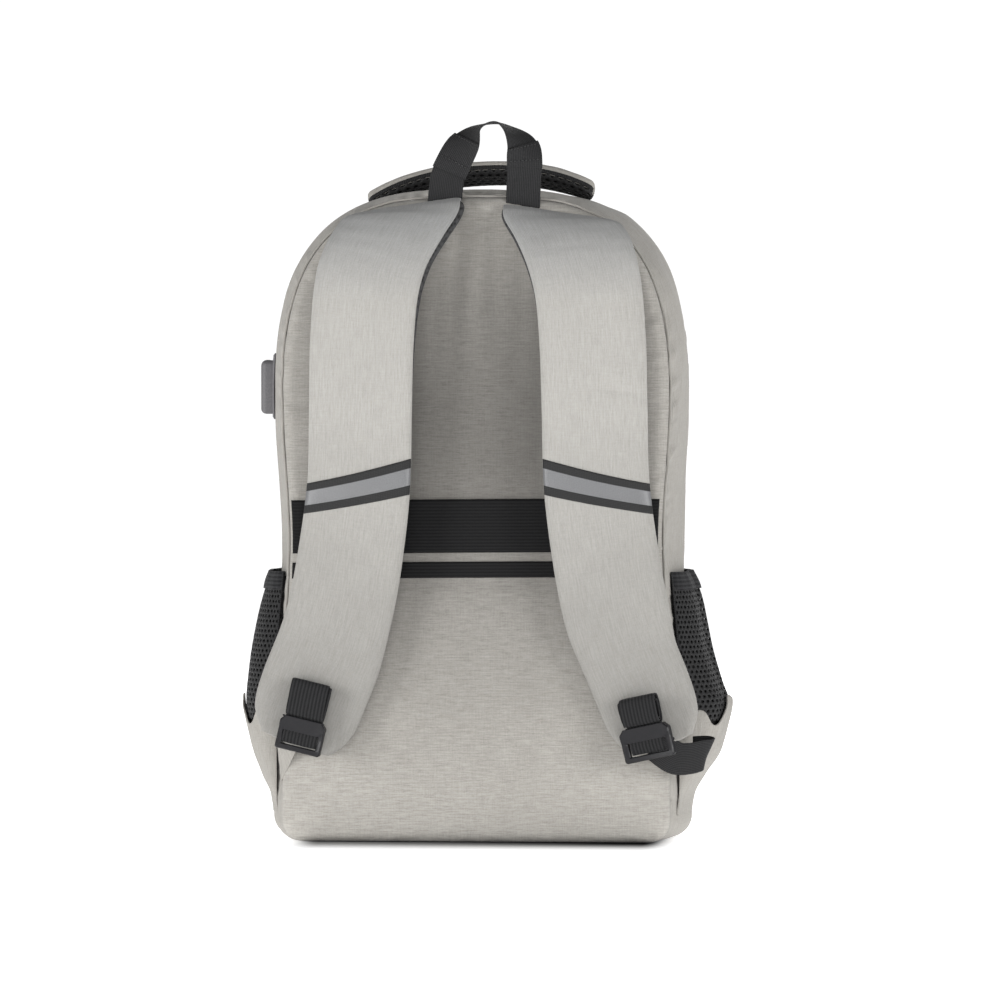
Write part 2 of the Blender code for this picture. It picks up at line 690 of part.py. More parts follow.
# ---------------------------------------------------------------- joints
def pivot(name, at, pieces, parent=None):
    """An empty on a joint's axis that carries the pieces moving about it."""
    empty = bpy.data.objects.new(name, None)
    empty.location = at
    empty.empty_display_size = 0.02
    PARTS.objects.link(empty)
    if parent:
        empty.parent = parent
        empty.matrix_parent_inverse = Matrix.Translation(-parent.location)
    for piece in pieces:
        obj = bpy.data.objects[piece]
        obj.parent = empty
        obj.matrix_parent_inverse = Matrix.Translation(-Vector(at))
    return empty


def pivots(pocket_zip_y):
    cells = [f"solar_cell_{i + 1}" for i in range(SOLAR_ROWS * SOLAR_COLUMNS)]
    laminate = ["solar_backing", "solar_border", "solar_film", "charge_controller"]
    shells = ["front_panel", "front_gusset", "zip_tape_front"]
    pivot("front_fold", (0, FRONT_Y + FRONT_THICK, FOLD_Z + 0.0005), shells + laminate + cells)
    for side, sign in SIDES.items():
        pieces = [f"{piece}_{side}" for piece in ("strap_pad", "strap_lining", "reflective_band", "webbing_roll")]
        swing = pivot(f"strap_{side}_swing", (sign * 0.0530, -0.0895, 0.4680), pieces)
        bar = Vector((0, 0, 0.0095))
        bar.rotate(Euler((0, -sign * BUCKLE_LEAN, 0)))
        at = Vector((sign * BUCKLE_AT.x, BUCKLE_AT.y, BUCKLE_AT.z)) + bar
        pivot(f"buckle_{side}_tilt", at, [f"buckle_{side}", f"webbing_turn_{side}"], swing)
    pivot("carry_handle_swing", (0, HANDLE_Y, 0.4790), ["handle_cover", "handle_mesh_underside"])
    pivot("grab_loop_fold", LOOP_PATH[0][:3], ["grab_loop"])
    for which, (_, shift) in MAIN_SLIDERS.items():
        body = bpy.data.objects[f"main_{which}_slider"]
        slide = pivot(f"main_{which}_slide", body.location.copy(), [body.name])
        eye = Vector((-0.0027, shift, 0.0020))
        eye.rotate(body.rotation_euler)
        pivot(f"main_{which}_pull_tilt", body.location + eye, [f"main_{which}_pull"], slide)
    slide = pivot("pocket_slide", (POCKET_SLIDER_X, pocket_zip_y, POCKET_Z[1]), ["pocket_slider"])
    eye = (POCKET_SLIDER_X, pocket_zip_y - 0.0020, POCKET_Z[1] + 0.0045)
    pivot("pocket_pull_tilt", eye, ["pocket_pull"], slide)


clear_scene()
PARTS = collection("solar_backpack")
CUTTERS = collection("cutters")
MATERIALS = materials()

bag_shell()
seam_piping()
front_shell(main_zip())
inside()
back_bands()
side_pockets()
straps()
buckles()
lower_webbing()
carry_handle()
grab_loop()
usb_port()
solar_panel()
main_sliders()
pocket_zip_y = front_pocket()
pocket_slider(pocket_zip_y)
pivots(pocket_zip_y)
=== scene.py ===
"""The looks of the grey solar daypack: fabric, webbing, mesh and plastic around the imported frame.

Metres, +Z up. The strap side faces -Y, the solar panel +Y, and +X is to the right seen from the straps.
"""

import math
from itertools import product

import bmesh
import bpy
import numpy as np
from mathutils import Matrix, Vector


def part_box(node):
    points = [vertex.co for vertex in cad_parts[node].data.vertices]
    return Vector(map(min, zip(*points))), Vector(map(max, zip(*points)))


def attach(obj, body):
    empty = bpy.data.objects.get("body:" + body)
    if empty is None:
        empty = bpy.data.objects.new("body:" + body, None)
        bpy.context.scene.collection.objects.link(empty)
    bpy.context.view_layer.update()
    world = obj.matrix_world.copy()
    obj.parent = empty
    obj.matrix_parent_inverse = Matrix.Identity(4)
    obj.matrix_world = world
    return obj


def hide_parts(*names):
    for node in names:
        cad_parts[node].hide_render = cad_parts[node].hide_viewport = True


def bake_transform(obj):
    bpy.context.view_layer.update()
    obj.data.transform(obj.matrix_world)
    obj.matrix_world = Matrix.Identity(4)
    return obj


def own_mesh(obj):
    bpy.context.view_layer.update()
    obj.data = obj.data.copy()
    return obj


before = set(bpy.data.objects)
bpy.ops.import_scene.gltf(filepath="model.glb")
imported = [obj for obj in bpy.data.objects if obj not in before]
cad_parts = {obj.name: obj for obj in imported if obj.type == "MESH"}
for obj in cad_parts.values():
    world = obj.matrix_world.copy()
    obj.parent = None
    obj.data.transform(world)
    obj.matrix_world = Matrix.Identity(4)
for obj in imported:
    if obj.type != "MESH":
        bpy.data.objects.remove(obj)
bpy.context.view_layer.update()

# ---------------------------------------------------------------- driving sizes, as in the frame
MIDDLE_Y = -0.005
REAR_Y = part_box("rear_gusset")[0].y - 0.0007
FRONT_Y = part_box("front_panel")[0].y - 0.0003
FRONT_FACE_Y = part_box("front_panel")[1].y
ZIP_Y = 0.020
ZIP_TAPE = 0.0052
ZIP_COIL = 0.0034
FOLD_Z = 0.212
SHOULDER_Z = 0.300
ARCH_POWER = 3.1
PANEL_EDGE_Y, PANEL_FACE_Y = -0.0757, -0.0843  # where the back panel's roll starts and ends
PANEL_ROLL, FRONT_ROLL = 0.0085, 0.0055
FRONT_LIFT = 0.0061  # the front skin's face ahead of the front's seam
HALF_WIDTH = (0.143, 0.156, 0.138)  # rear, middle, front
TOP_Z = (0.474, 0.484, 0.456)
WAIST, WAIST_Z, WAIST_SPREAD = 0.006, 0.220, 0.070
CORNER = 0.0155
SIDES = {"left": -1, "right": 1}


# ---------------------------------------------------------------- noise and small maths
def lattice(cell, seed):
    """A repeatable value from -1 to 1 for each whole-numbered cell."""
    mixed = cell[..., 0] * 73856093 ^ cell[..., 1] * 19349663 ^ cell[..., 2] * 83492791 ^ (seed * 7919 + 17)
    mixed = (mixed ^ (mixed >> 13)) * 1274126177
    return ((mixed ^ (mixed >> 16)) & 0xFFFF) / 32767.5 - 1.0


def wander(points, size, seed=0):
    """Smooth noise from -1 to 1 with features of the given size in metres, one number or one per axis."""
    p = np.asarray(points, float) / np.asarray(size, float)
    low = np.floor(p).astype(np.int64)
    t = p - low
    t = t * t * t * (t * (t * 6 - 15) + 10)
    total = 0
    for corner in product((0, 1), repeat=3):
        share = 1.0
        for axis, far in enumerate(corner):
            share = share * (t[..., axis] if far else 1 - t[..., axis])
        total = total + share * lattice(low + np.array(corner), seed)
    return total


def fractal(points, size, octaves=3, seed=0):
    total = 0
    for octave in range(octaves):
        total = total + wander(points, np.asarray(size) / 2**octave, seed + octave) / 2**octave
    return total


def ease(value, low, high):
    """0 below low, 1 above high, and smooth between."""
    t = np.clip((np.asarray(value, float) - low) / (high - low), 0, 1)
    return t * t * (3 - 2 * t)


def unit(vectors):
    length = np.linalg.norm(vectors, axis=-1, keepdims=True)
    return vectors / np.maximum(length, 1e-12)


def lengths(points):
    """Metres along a line from its start to each of its points."""
    return np.concatenate([[0], np.cumsum(np.linalg.norm(np.diff(points, axis=0), axis=1))])


def resample(points, count):
    """The same line with evenly spaced points."""
    along = lengths(points)
    wanted = np.linspace(0, along[-1], count)
    return np.stack([np.interp(wanted, along, points[:, k]) for k in range(points.shape[1])], axis=1)


def at_depth(line, y):
    """The (x, z) points of a line as (x, y, z) points at one depth."""
    return np.column_stack([line[:, 0], np.full(len(line), y), line[:, 1]])


def over(*ranges):
    """Two-way grids of values, each range a (from, to, count)."""
    return np.meshgrid(*(np.linspace(*one) for one in ranges), indexing="ij")


def same(vector, count):
    """The same vector on each of count rows."""
    return np.repeat([np.asarray(vector, float)], count, axis=0)


def flat_spots(across, down):
    """Noise points for a grid whose features run across and down it, whatever its depth."""
    return np.stack((across, 0 * across, down), axis=-1)


def laid(across, down):
    """UV coordinates from two grids of metres."""
    return np.stack((across, down), axis=-1)


def catmull(points, per_span):
    """A smooth line through every point of an (n, k) array."""
    p = np.asarray(points, float)
    ends = np.concatenate([p[:1], p, p[-1:]])
    made = []
    for i in range(len(p) - 1):
        a, b, c, d = ends[i : i + 4]
        t = (np.arange(per_span) / per_span)[:, None]
        cube = 3 * b - a - 3 * c + d
        square = 2 * a - 5 * b + 4 * c - d
        made.append(0.5 * (2 * b + (c - a) * t + square * t**2 + cube * t**3))
    return np.concatenate(made + [p[-1:]])


def grid_normals(grid):
    """Unit normals of a (rows, columns, 3) grid: row direction crossed with column direction."""
    return unit(np.cross(np.gradient(grid, axis=0), np.gradient(grid, axis=1)))


# ---------------------------------------------------------------- the bag's outline, as in the frame
def between(values, y):
    rear, middle, front = values
    y = np.asarray(y, float)
    far = np.where(y < MIDDLE_Y, rear, front)
    reach = np.where(y < MIDDLE_Y, MIDDLE_Y - REAR_Y, FRONT_Y - MIDDLE_Y)
    return middle + (far - middle) * np.minimum(1.0, np.abs(y - MIDDLE_Y) / reach) ** 2


def half_width(y, z):
    z = np.asarray(z, float)
    widest = between(HALF_WIDTH, y) - WAIST * np.exp(-(((z - WAIST_Z) / WAIST_SPREAD) ** 2))
    up = np.clip((z - SHOULDER_Z) / (between(TOP_Z, y) - SHOULDER_Z), 0, 1)
    arched = widest * (1 - up**ARCH_POWER) ** (1 / ARCH_POWER)
    into = np.clip(CORNER - z, 0, CORNER)
    return arched - CORNER + np.sqrt(CORNER**2 - into**2)


def arch_line(y, z_from, count):
    """Evenly spaced (x, z) points up the left side from z_from, over the top and down the right."""
    top = float(between(TOP_Z, y))
    straight = np.linspace(z_from, SHOULDER_Z, 60)[:-1]
    curved = SHOULDER_Z + (top - SHOULDER_Z) * np.sin(np.linspace(0, math.pi / 2, 160)) ** (2 / ARCH_POWER)
    heights = np.concatenate([straight, curved])
    wide = half_width(y, heights)
    left = np.stack([-wide, heights], axis=1)
    right = np.stack([wide, heights], axis=1)[::-1][1:]
    return resample(np.concatenate([left, right]), count)


def run_and_out(outline):
    """Unit vectors along an outline of (x, z) points and out of the bag."""
    run = unit(np.gradient(outline, axis=0))
    return run, np.stack([-run[:, 1], run[:, 0]], axis=1)


def base_line(y, z_to, count):
    """Evenly spaced (x, z) points down the left side from z_to, under the bag, and up the right."""
    down = np.linspace(z_to, CORNER, 8)[:-1]
    turn = CORNER - CORNER * np.sin(np.linspace(0, math.pi / 2, 24))
    heights = np.concatenate([down, turn])
    wide = half_width(y, heights)
    left = np.stack([-wide, heights], axis=1)
    return resample(np.concatenate([left, left[::-1] * (-1, 1)]), count)


def panel_loop(y, z_from, count):
    """The closed outline at one depth, from the middle of its lower edge round, first point repeated."""
    arch = arch_line(y, max(z_from, CORNER), 700)
    if z_from < CORNER:
        under = base_line(y, CORNER, 240)
        half = len(under) // 2
        middle = [(0.0, 0.0)]
        line = np.concatenate([middle, under[:half][::-1], arch, under[half:][::-1], middle])
    else:
        line = np.concatenate([[(0, z_from)], arch, [(0, z_from)]])
    return resample(line, count)


# ---------------------------------------------------------------- making pieces
def smooth_shade(obj, angle=50):
    obj.data.shade_smooth()
    obj.data.set_sharp_from_angle(angle=math.radians(angle))


def add(name, mesh, material):
    obj = bpy.data.objects.new(name, mesh)
    bpy.context.scene.collection.objects.link(obj)
    mesh.materials.append(MATERIALS[material])
    return obj


def finished(made, name, material, angle=None):
    """A new object from a bmesh, smooth where it turns by less than the angle in degrees."""
    mesh = bpy.data.meshes.new(name)
    made.to_mesh(mesh)
    made.free()
    obj = add(name, mesh, material)
    if angle is not None:
        smooth_shade(obj, angle)
    return obj


def joined(made, rings):
    """Quads between neighbouring rings of vertices, as many in each."""
    for one, other in zip(rings, rings[1:]):
        for k in range(len(one)):
            made.faces.new((one[k - 1], one[k], other[k], other[k - 1]))


def box_of(node):
    """The low and high corner of a CAD node, as arrays."""
    return [np.array(corner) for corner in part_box(node)]


def belongs(obj, body, slot, *nodes):
    """Attaches a finished piece to the body it moves with and hides the CAD nodes it stands for; slot, its
    material slot, is not used.
    """
    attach(obj, body)
    if nodes:
        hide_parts(*nodes)
    return obj


def cloth(name, grid, uv, material, thickness=0.0, outwards=None, weld=False):
    """A quad surface through a (rows, columns, 3) grid. Its UV map holds the cloth's own metres."""
    rows, columns = grid.shape[:2]
    index = np.arange(rows * columns).reshape(rows, columns)
    corners = [index[:-1, :-1], index[:-1, 1:], index[1:, 1:], index[1:, :-1]]
    faces = np.stack([c.ravel() for c in corners], axis=1)
    if outwards is not None:
        middle = grid_normals(grid)[rows // 2, columns // 2]
        if np.dot(middle, outwards) > 0:
            faces = faces[:, ::-1]
    mesh = bpy.data.meshes.new(name)
    mesh.from_pydata(grid.reshape(-1, 3).tolist(), [], faces.tolist())
    layer = mesh.uv_layers.new(name="cloth")
    layer.data.foreach_set("uv", uv.reshape(-1, 2)[faces.ravel()].astype(np.float32).ravel())
    if weld:
        made = bmesh.new()
        made.from_mesh(mesh)
        bmesh.ops.remove_doubles(made, verts=made.verts, dist=1e-6)
        if outwards is None:
            bmesh.ops.recalc_face_normals(made, faces=made.faces)
        made.to_mesh(mesh)
        made.free()
    obj = add(name, mesh, material)
    if thickness:
        modifier = obj.modifiers.new("thickness", "SOLIDIFY")
        modifier.thickness = thickness
        modifier.offset = -1
        modifier.use_even_offset = False
    smooth_shade(obj)
    return obj


def tube_grid(centres, sides, fronts, section):
    """Rows of a closed section, (m, 2) in metres, carried along a line. Its first point is repeated."""
    around = np.concatenate([section, section[:1]])
    return (
        centres[:, None]
        + sides[:, None] * around[None, :, :1]
        + fronts[:, None] * around[None, :, 1:]
    )


def capped(grid):
    """A tube grid with a closing row pulled to the middle at each end."""
    first = np.repeat(grid[0].mean(axis=0)[None], grid.shape[1], axis=0)
    last = np.repeat(grid[-1].mean(axis=0)[None], grid.shape[1], axis=0)
    near = [grid[0] * 0.35 + first * 0.65, grid[-1] * 0.35 + last * 0.65]
    return np.concatenate([[first], [near[0]], grid, [near[1]], [last]])


def metres_uv(grid):
    """UV in metres from the lengths along rows and columns."""
    across = np.linalg.norm(np.diff(grid, axis=1), axis=2)
    across = np.concatenate([np.zeros((len(grid), 1)), np.cumsum(across, axis=1)], axis=1)
    across = across - across.mean(axis=1, keepdims=True)
    along = np.linalg.norm(np.diff(grid, axis=0), axis=2).mean(axis=1)
    along = np.concatenate([[0], np.cumsum(along)])
    return np.stack([across, np.repeat(along[:, None], grid.shape[1], axis=1)], axis=2)


def flat_section(half_wide, half_thick, count=28, power=6.0):
    """A closed flat section with rounded edges, as (across, out) points."""
    angle = np.linspace(0, 2 * math.pi, count, endpoint=False)
    c, s = np.cos(angle), np.sin(angle)
    stretch = (np.abs(c) ** power + np.abs(s) ** power) ** (-1 / power)
    return np.stack([c * stretch * half_wide, s * stretch * half_thick], axis=1)


def band(name, centres, sides, fronts, width, thickness, material, power=6.0):
    """A flat webbing or tape of one width along a line, solid, with rounded edges."""
    section = flat_section(width / 2, thickness / 2, 36, power)
    grid = capped(tube_grid(centres, sides, fronts, section))
    across = np.concatenate([section, section[:1]])[:, 0]
    uv = metres_uv(grid)
    uv[..., 0] = across[None]
    return cloth(name, grid, uv, material, weld=True)


def stitches(name, line, normals, material, pitch=0.0042, length=0.0028, radius=0.00034):
    """A row of separate raised threads along a line on a surface."""
    steps = np.linalg.norm(np.diff(line, axis=0), axis=1)
    count = max(2, int(steps.sum() / pitch))
    both = resample(np.concatenate([line, normals], axis=1), count * 4 + 1)
    spots, outs = both[:, :3], unit(both[:, 3:])
    made = bmesh.new()
    for i in range(count):
        middle, ahead = spots[i * 4 + 2], unit(spots[i * 4 + 3] - spots[i * 4 + 1])
        out = outs[i * 4 + 2]
        side = unit(np.cross(ahead, out))
        rings = []
        for share in (-1.0, -0.6, 0.0, 0.6, 1.0):
            size = radius * math.sqrt(max(0.05, 1 - share**4))
            lift = radius * (1.1 - 1.6 * share**4)
            centre = middle + ahead * share * length / 2 + out * lift
            angles = [math.pi * 2 * k / 6 for k in range(6)]
            rings.append([made.verts.new(centre + (side * math.cos(a) + out * math.sin(a)) * size)
                          for a in angles])
        for one, other in zip(rings, rings[1:]):
            for k in range(6):
                made.faces.new((one[k], one[k - 1], other[k - 1], other[k]))
        made.faces.new(rings[0])
        made.faces.new(rings[-1][::-1])
    return finished(made, name, material, 80)


def hex_net(name, place, width, length, pitch, strand, material, thickness=0.0009, tallness=1.25):
    """An air-mesh layer with rows of hexagonal holes, on a surface that place(u, v) gives from metres."""
    made = bmesh.new()
    tall = pitch * tallness
    columns, lines = int(width / pitch) + 2, int(length / (tall * 0.75)) + 2
    corners = {}

    def corner(x, z):
        key = (round(x / pitch * 8), round(z / tall * 8))
        if key not in corners:
            corners[key] = made.verts.new((x, z, 0))
        return corners[key]

    for line in range(lines):
        for column in range(columns):
            x = column * pitch + (pitch / 2 if line % 2 else 0)
            z = line * tall * 0.75
            ring = [(0, 0.5), (-0.5, 0.25), (-0.5, -0.25), (0, -0.5), (0.5, -0.25), (0.5, 0.25)]
            made.faces.new([corner(x + a * pitch, z + b * tall) for a, b in ring])
    made.normal_update()
    faces = list(made.faces)
    bmesh.ops.inset_individual(made, faces=faces, thickness=strand / 2, use_even_offset=True)
    bmesh.ops.delete(made, geom=faces, context="FACES_ONLY")
    flat = np.array([v.co for v in made.verts])
    u = np.clip(flat[:, 0], 0, width)
    v = np.clip(flat[:, 1], 0, length)
    for vertex, point in zip(made.verts, place(u, v)):
        vertex.co = point
    bmesh.ops.dissolve_degenerate(made, dist=1e-5, edges=made.edges)
    obj = finished(made, name, material)
    modifier = obj.modifiers.new("thickness", "SOLIDIFY")
    modifier.thickness = thickness
    modifier.offset = 0
    smooth_shade(obj, 60)
    return obj


# ---------------------------------------------------------------- materials
MATERIALS = {}


class Shading:
    """One material and short ways to add and link its nodes. Lengths in the "cloth" UV map are metres."""

    def __init__(self, name, roughness=0.8, **constants):
        self.material = bpy.data.materials.new(name)
        self.material.use_nodes = True
        self.tree = self.material.node_tree
        self.shader = self.tree.nodes["Principled BSDF"]
        self.shader.inputs["Roughness"].default_value = roughness
        for key, value in constants.items():
            self.shader.inputs[key.replace("_", " ")].default_value = value
        MATERIALS[name] = self.material

    def put(self, kind, inputs=(), **settings):
        node = self.tree.nodes.new("ShaderNode" + kind)
        for key, value in settings.items():
            setattr(node, key, value)
        for key, value in dict(inputs).items():
            if isinstance(value, bpy.types.NodeSocket):
                self.tree.links.new(value, node.inputs[key])
            else:
                node.inputs[key].default_value = value
        return node

    def maths(self, operation, *values):
        return self.put("Math", enumerate(values), operation=operation).outputs[0]

    def uv(self):
        split = self.put("SeparateXYZ", {0: self.put("UVMap", uv_map="cloth").outputs[0]})
        return split.outputs[0], split.outputs[1]

    def place(self):
        """The point on the object itself, in metres."""
        return self.put("TexCoord").outputs["Object"]

    def noise(self, u, v, long, wide, detail=2.0, shift=0.0):
        """Noise of features long by wide metres over two coordinates."""
        parts = {0: self.maths("DIVIDE", u, long), 1: self.maths("DIVIDE", v, wide), 2: shift}
        point = self.put("CombineXYZ", parts).outputs[0]
        return self.put("TexNoise",
                        {"Vector": point, "Scale": 1.0, "Detail": detail, "Roughness": 0.55}).outputs[0]

    def grain(self, scale, detail=3.0):
        return self.put("TexNoise", {"Vector": self.place(), "Scale": scale, "Detail": detail}).outputs[0]

    def wave(self, value, pitch):
        """0 to 1 and back once each pitch."""
        turned = self.maths("SINE", self.maths("MULTIPLY", value, 2 * math.pi / pitch))
        return self.maths("MULTIPLY_ADD", turned, 0.5, 0.5)

    def spread(self, value, low, high, to_low=0.0, to_high=1.0):
        inputs = {0: value, 1: low, 2: high, 3: to_low, 4: to_high}
        return self.put("MapRange", inputs).outputs[0]

    def mix(self, share, first, second, kind="MIX"):
        node = self.put("Mix", data_type="RGBA", blend_type=kind)
        for key, value in ((0, share), (6, first), (7, second)):
            if isinstance(value, bpy.types.NodeSocket):
                self.tree.links.new(value, node.inputs[key])
            elif key == 0:
                node.inputs[0].default_value = value
            else:
                node.inputs[key].default_value = (*value, 1.0)
        return node.outputs[2]

    def shaded(self, colour, shade):
        """Colour times painted light and shade that eases up the bag, by (height, outer, inner) rows."""
        split = self.put("SeparateXYZ", {0: self.place()})
        outer, inner = shade[0][1], shade[0][2]
        for (low, out_from, in_from), (high, out_to, in_to) in zip(shade, shade[1:]):
            step = self.spread(split.outputs[2], low, high)
            outer = self.maths("MULTIPLY_ADD", step, out_to - out_from, outer)
            inner = self.maths("MULTIPLY_ADD", step, in_to - in_from, inner)
        centre = self.spread(self.maths("ABSOLUTE", split.outputs[0]), 0.045, 0.080, 1.0, 0.0)
        level = self.maths("MULTIPLY_ADD", self.maths("SUBTRACT", inner, outer), centre, outer)
        grey = self.put("CombineXYZ", {0: level, 1: level, 2: level}).outputs[0]
        return self.mix(1.0, colour, grey, "MULTIPLY")

    def colour(self, socket):
        self.tree.links.new(socket, self.shader.inputs["Base Color"])

    def tones(self, value, low, high, first, second):
        """One colour where the value is low and the other where it is high."""
        self.colour(self.mix(self.spread(value, low, high), first, second))

    def roughness(self, socket):
        self.tree.links.new(socket, self.shader.inputs["Roughness"])

    def bump(self, height, distance, strength=0.6):
        made = self.put("Bump", {"Height": height, "Distance": distance, "Strength": strength})
        self.tree.links.new(made.outputs[0], self.shader.inputs["Normal"])


def melange(name, light, dark, slubs_across, contrast=1.0, shade=(), cooler=None):
    """Two-tone melange cloth: long uneven slubs one way, finer warp the other, and single coloured threads.

    shade holds (height, outer, inner) in metres and brightness: painted light and shade down the bag,
    away from its middle and at its middle. Above the height cooler the cloth is a little bluer, a painted
    cool shade.
    """
    s = Shading(name, 0.86, Sheen_Weight=0.10, Sheen_Roughness=0.5, Specular_IOR_Level=0.25)
    u, v = s.uv()
    long, wide = (u, v) if slubs_across else (v, u)
    slub = s.noise(long, wide, 0.0150, 0.00105, 3.0)
    thread = s.noise(long, wide, 0.0038, 0.00075, 2.0, 4.7)
    warp = s.noise(wide, long, 0.0110, 0.00085, 2.0, 9.1)
    speck = s.noise(long, wide, 0.0011, 0.0008, 1.0, 13.3)
    cloud = s.noise(u, v, 0.060, 0.045, 2.0, 21.0)
    total = s.maths("MULTIPLY", slub, 0.42)
    for part, share in ((thread, 0.24), (warp, 0.16), (speck, 0.18)):
        total = s.maths("MULTIPLY_ADD", part, share, total)
    half = 0.17 / contrast
    base = s.mix(s.spread(total, 0.5 - half, 0.5 + half), dark, light)
    warm = s.mix(s.spread(speck, 0.62, 0.80, 0.0, 0.35), base,
                 tuple(c * k for c, k in zip(light, (0.72, 0.62, 0.50))))
    cool = s.mix(s.spread(thread, 0.62, 0.80, 0.0, 0.40), warm,
                 tuple(c * k for c, k in zip(dark, (0.66, 0.74, 0.86))))
    cloth_colour = s.mix(s.spread(cloud, 0.3, 0.7, 0.0, 0.12), cool, tuple(c * 0.80 for c in dark))
    if shade:
        cloth_colour = s.shaded(cloth_colour, shade)
    if cooler is not None:
        height = s.put("SeparateXYZ", {0: s.place()}).outputs[2]
        tint = s.mix(s.spread(height, cooler - 0.03, cooler + 0.03), (1.0, 1.0, 1.0), (0.955, 0.985, 1.035))
        cloth_colour = s.mix(1.0, cloth_colour, tint, "MULTIPLY")
    s.colour(cloth_colour)
    crossing = s.maths("MULTIPLY", s.wave(u, 0.0011), s.wave(v, 0.0009))
    s.bump(s.maths("MULTIPLY_ADD", crossing, 0.45, s.maths("MULTIPLY", total, 1.4)), 0.00035, 0.55)


def webbing(name, light, dark, ribs_across, pitch, depth=0.0004, rough=0.78, sheen=0.05):
    """Ribbed tape: ribs one way, broken by finer threads the other."""
    s = Shading(name, rough, Sheen_Weight=sheen, Sheen_Roughness=0.4, Specular_IOR_Level=0.20)
    u, v = s.uv()
    over, along = (v, u) if ribs_across else (u, v)
    rib = s.wave(over, pitch)
    breaks = s.wave(along, 0.0011)
    fuzz = s.noise(along, over, 0.0022, 0.0008, 2.0)
    height = s.maths("MULTIPLY_ADD", breaks, 0.25, s.maths("MULTIPLY", rib, 0.9))
    height = s.maths("MULTIPLY_ADD", fuzz, 0.35, height)
    s.tones(height, 0.25, 1.25, dark, light)
    s.bump(height, depth, 0.7)


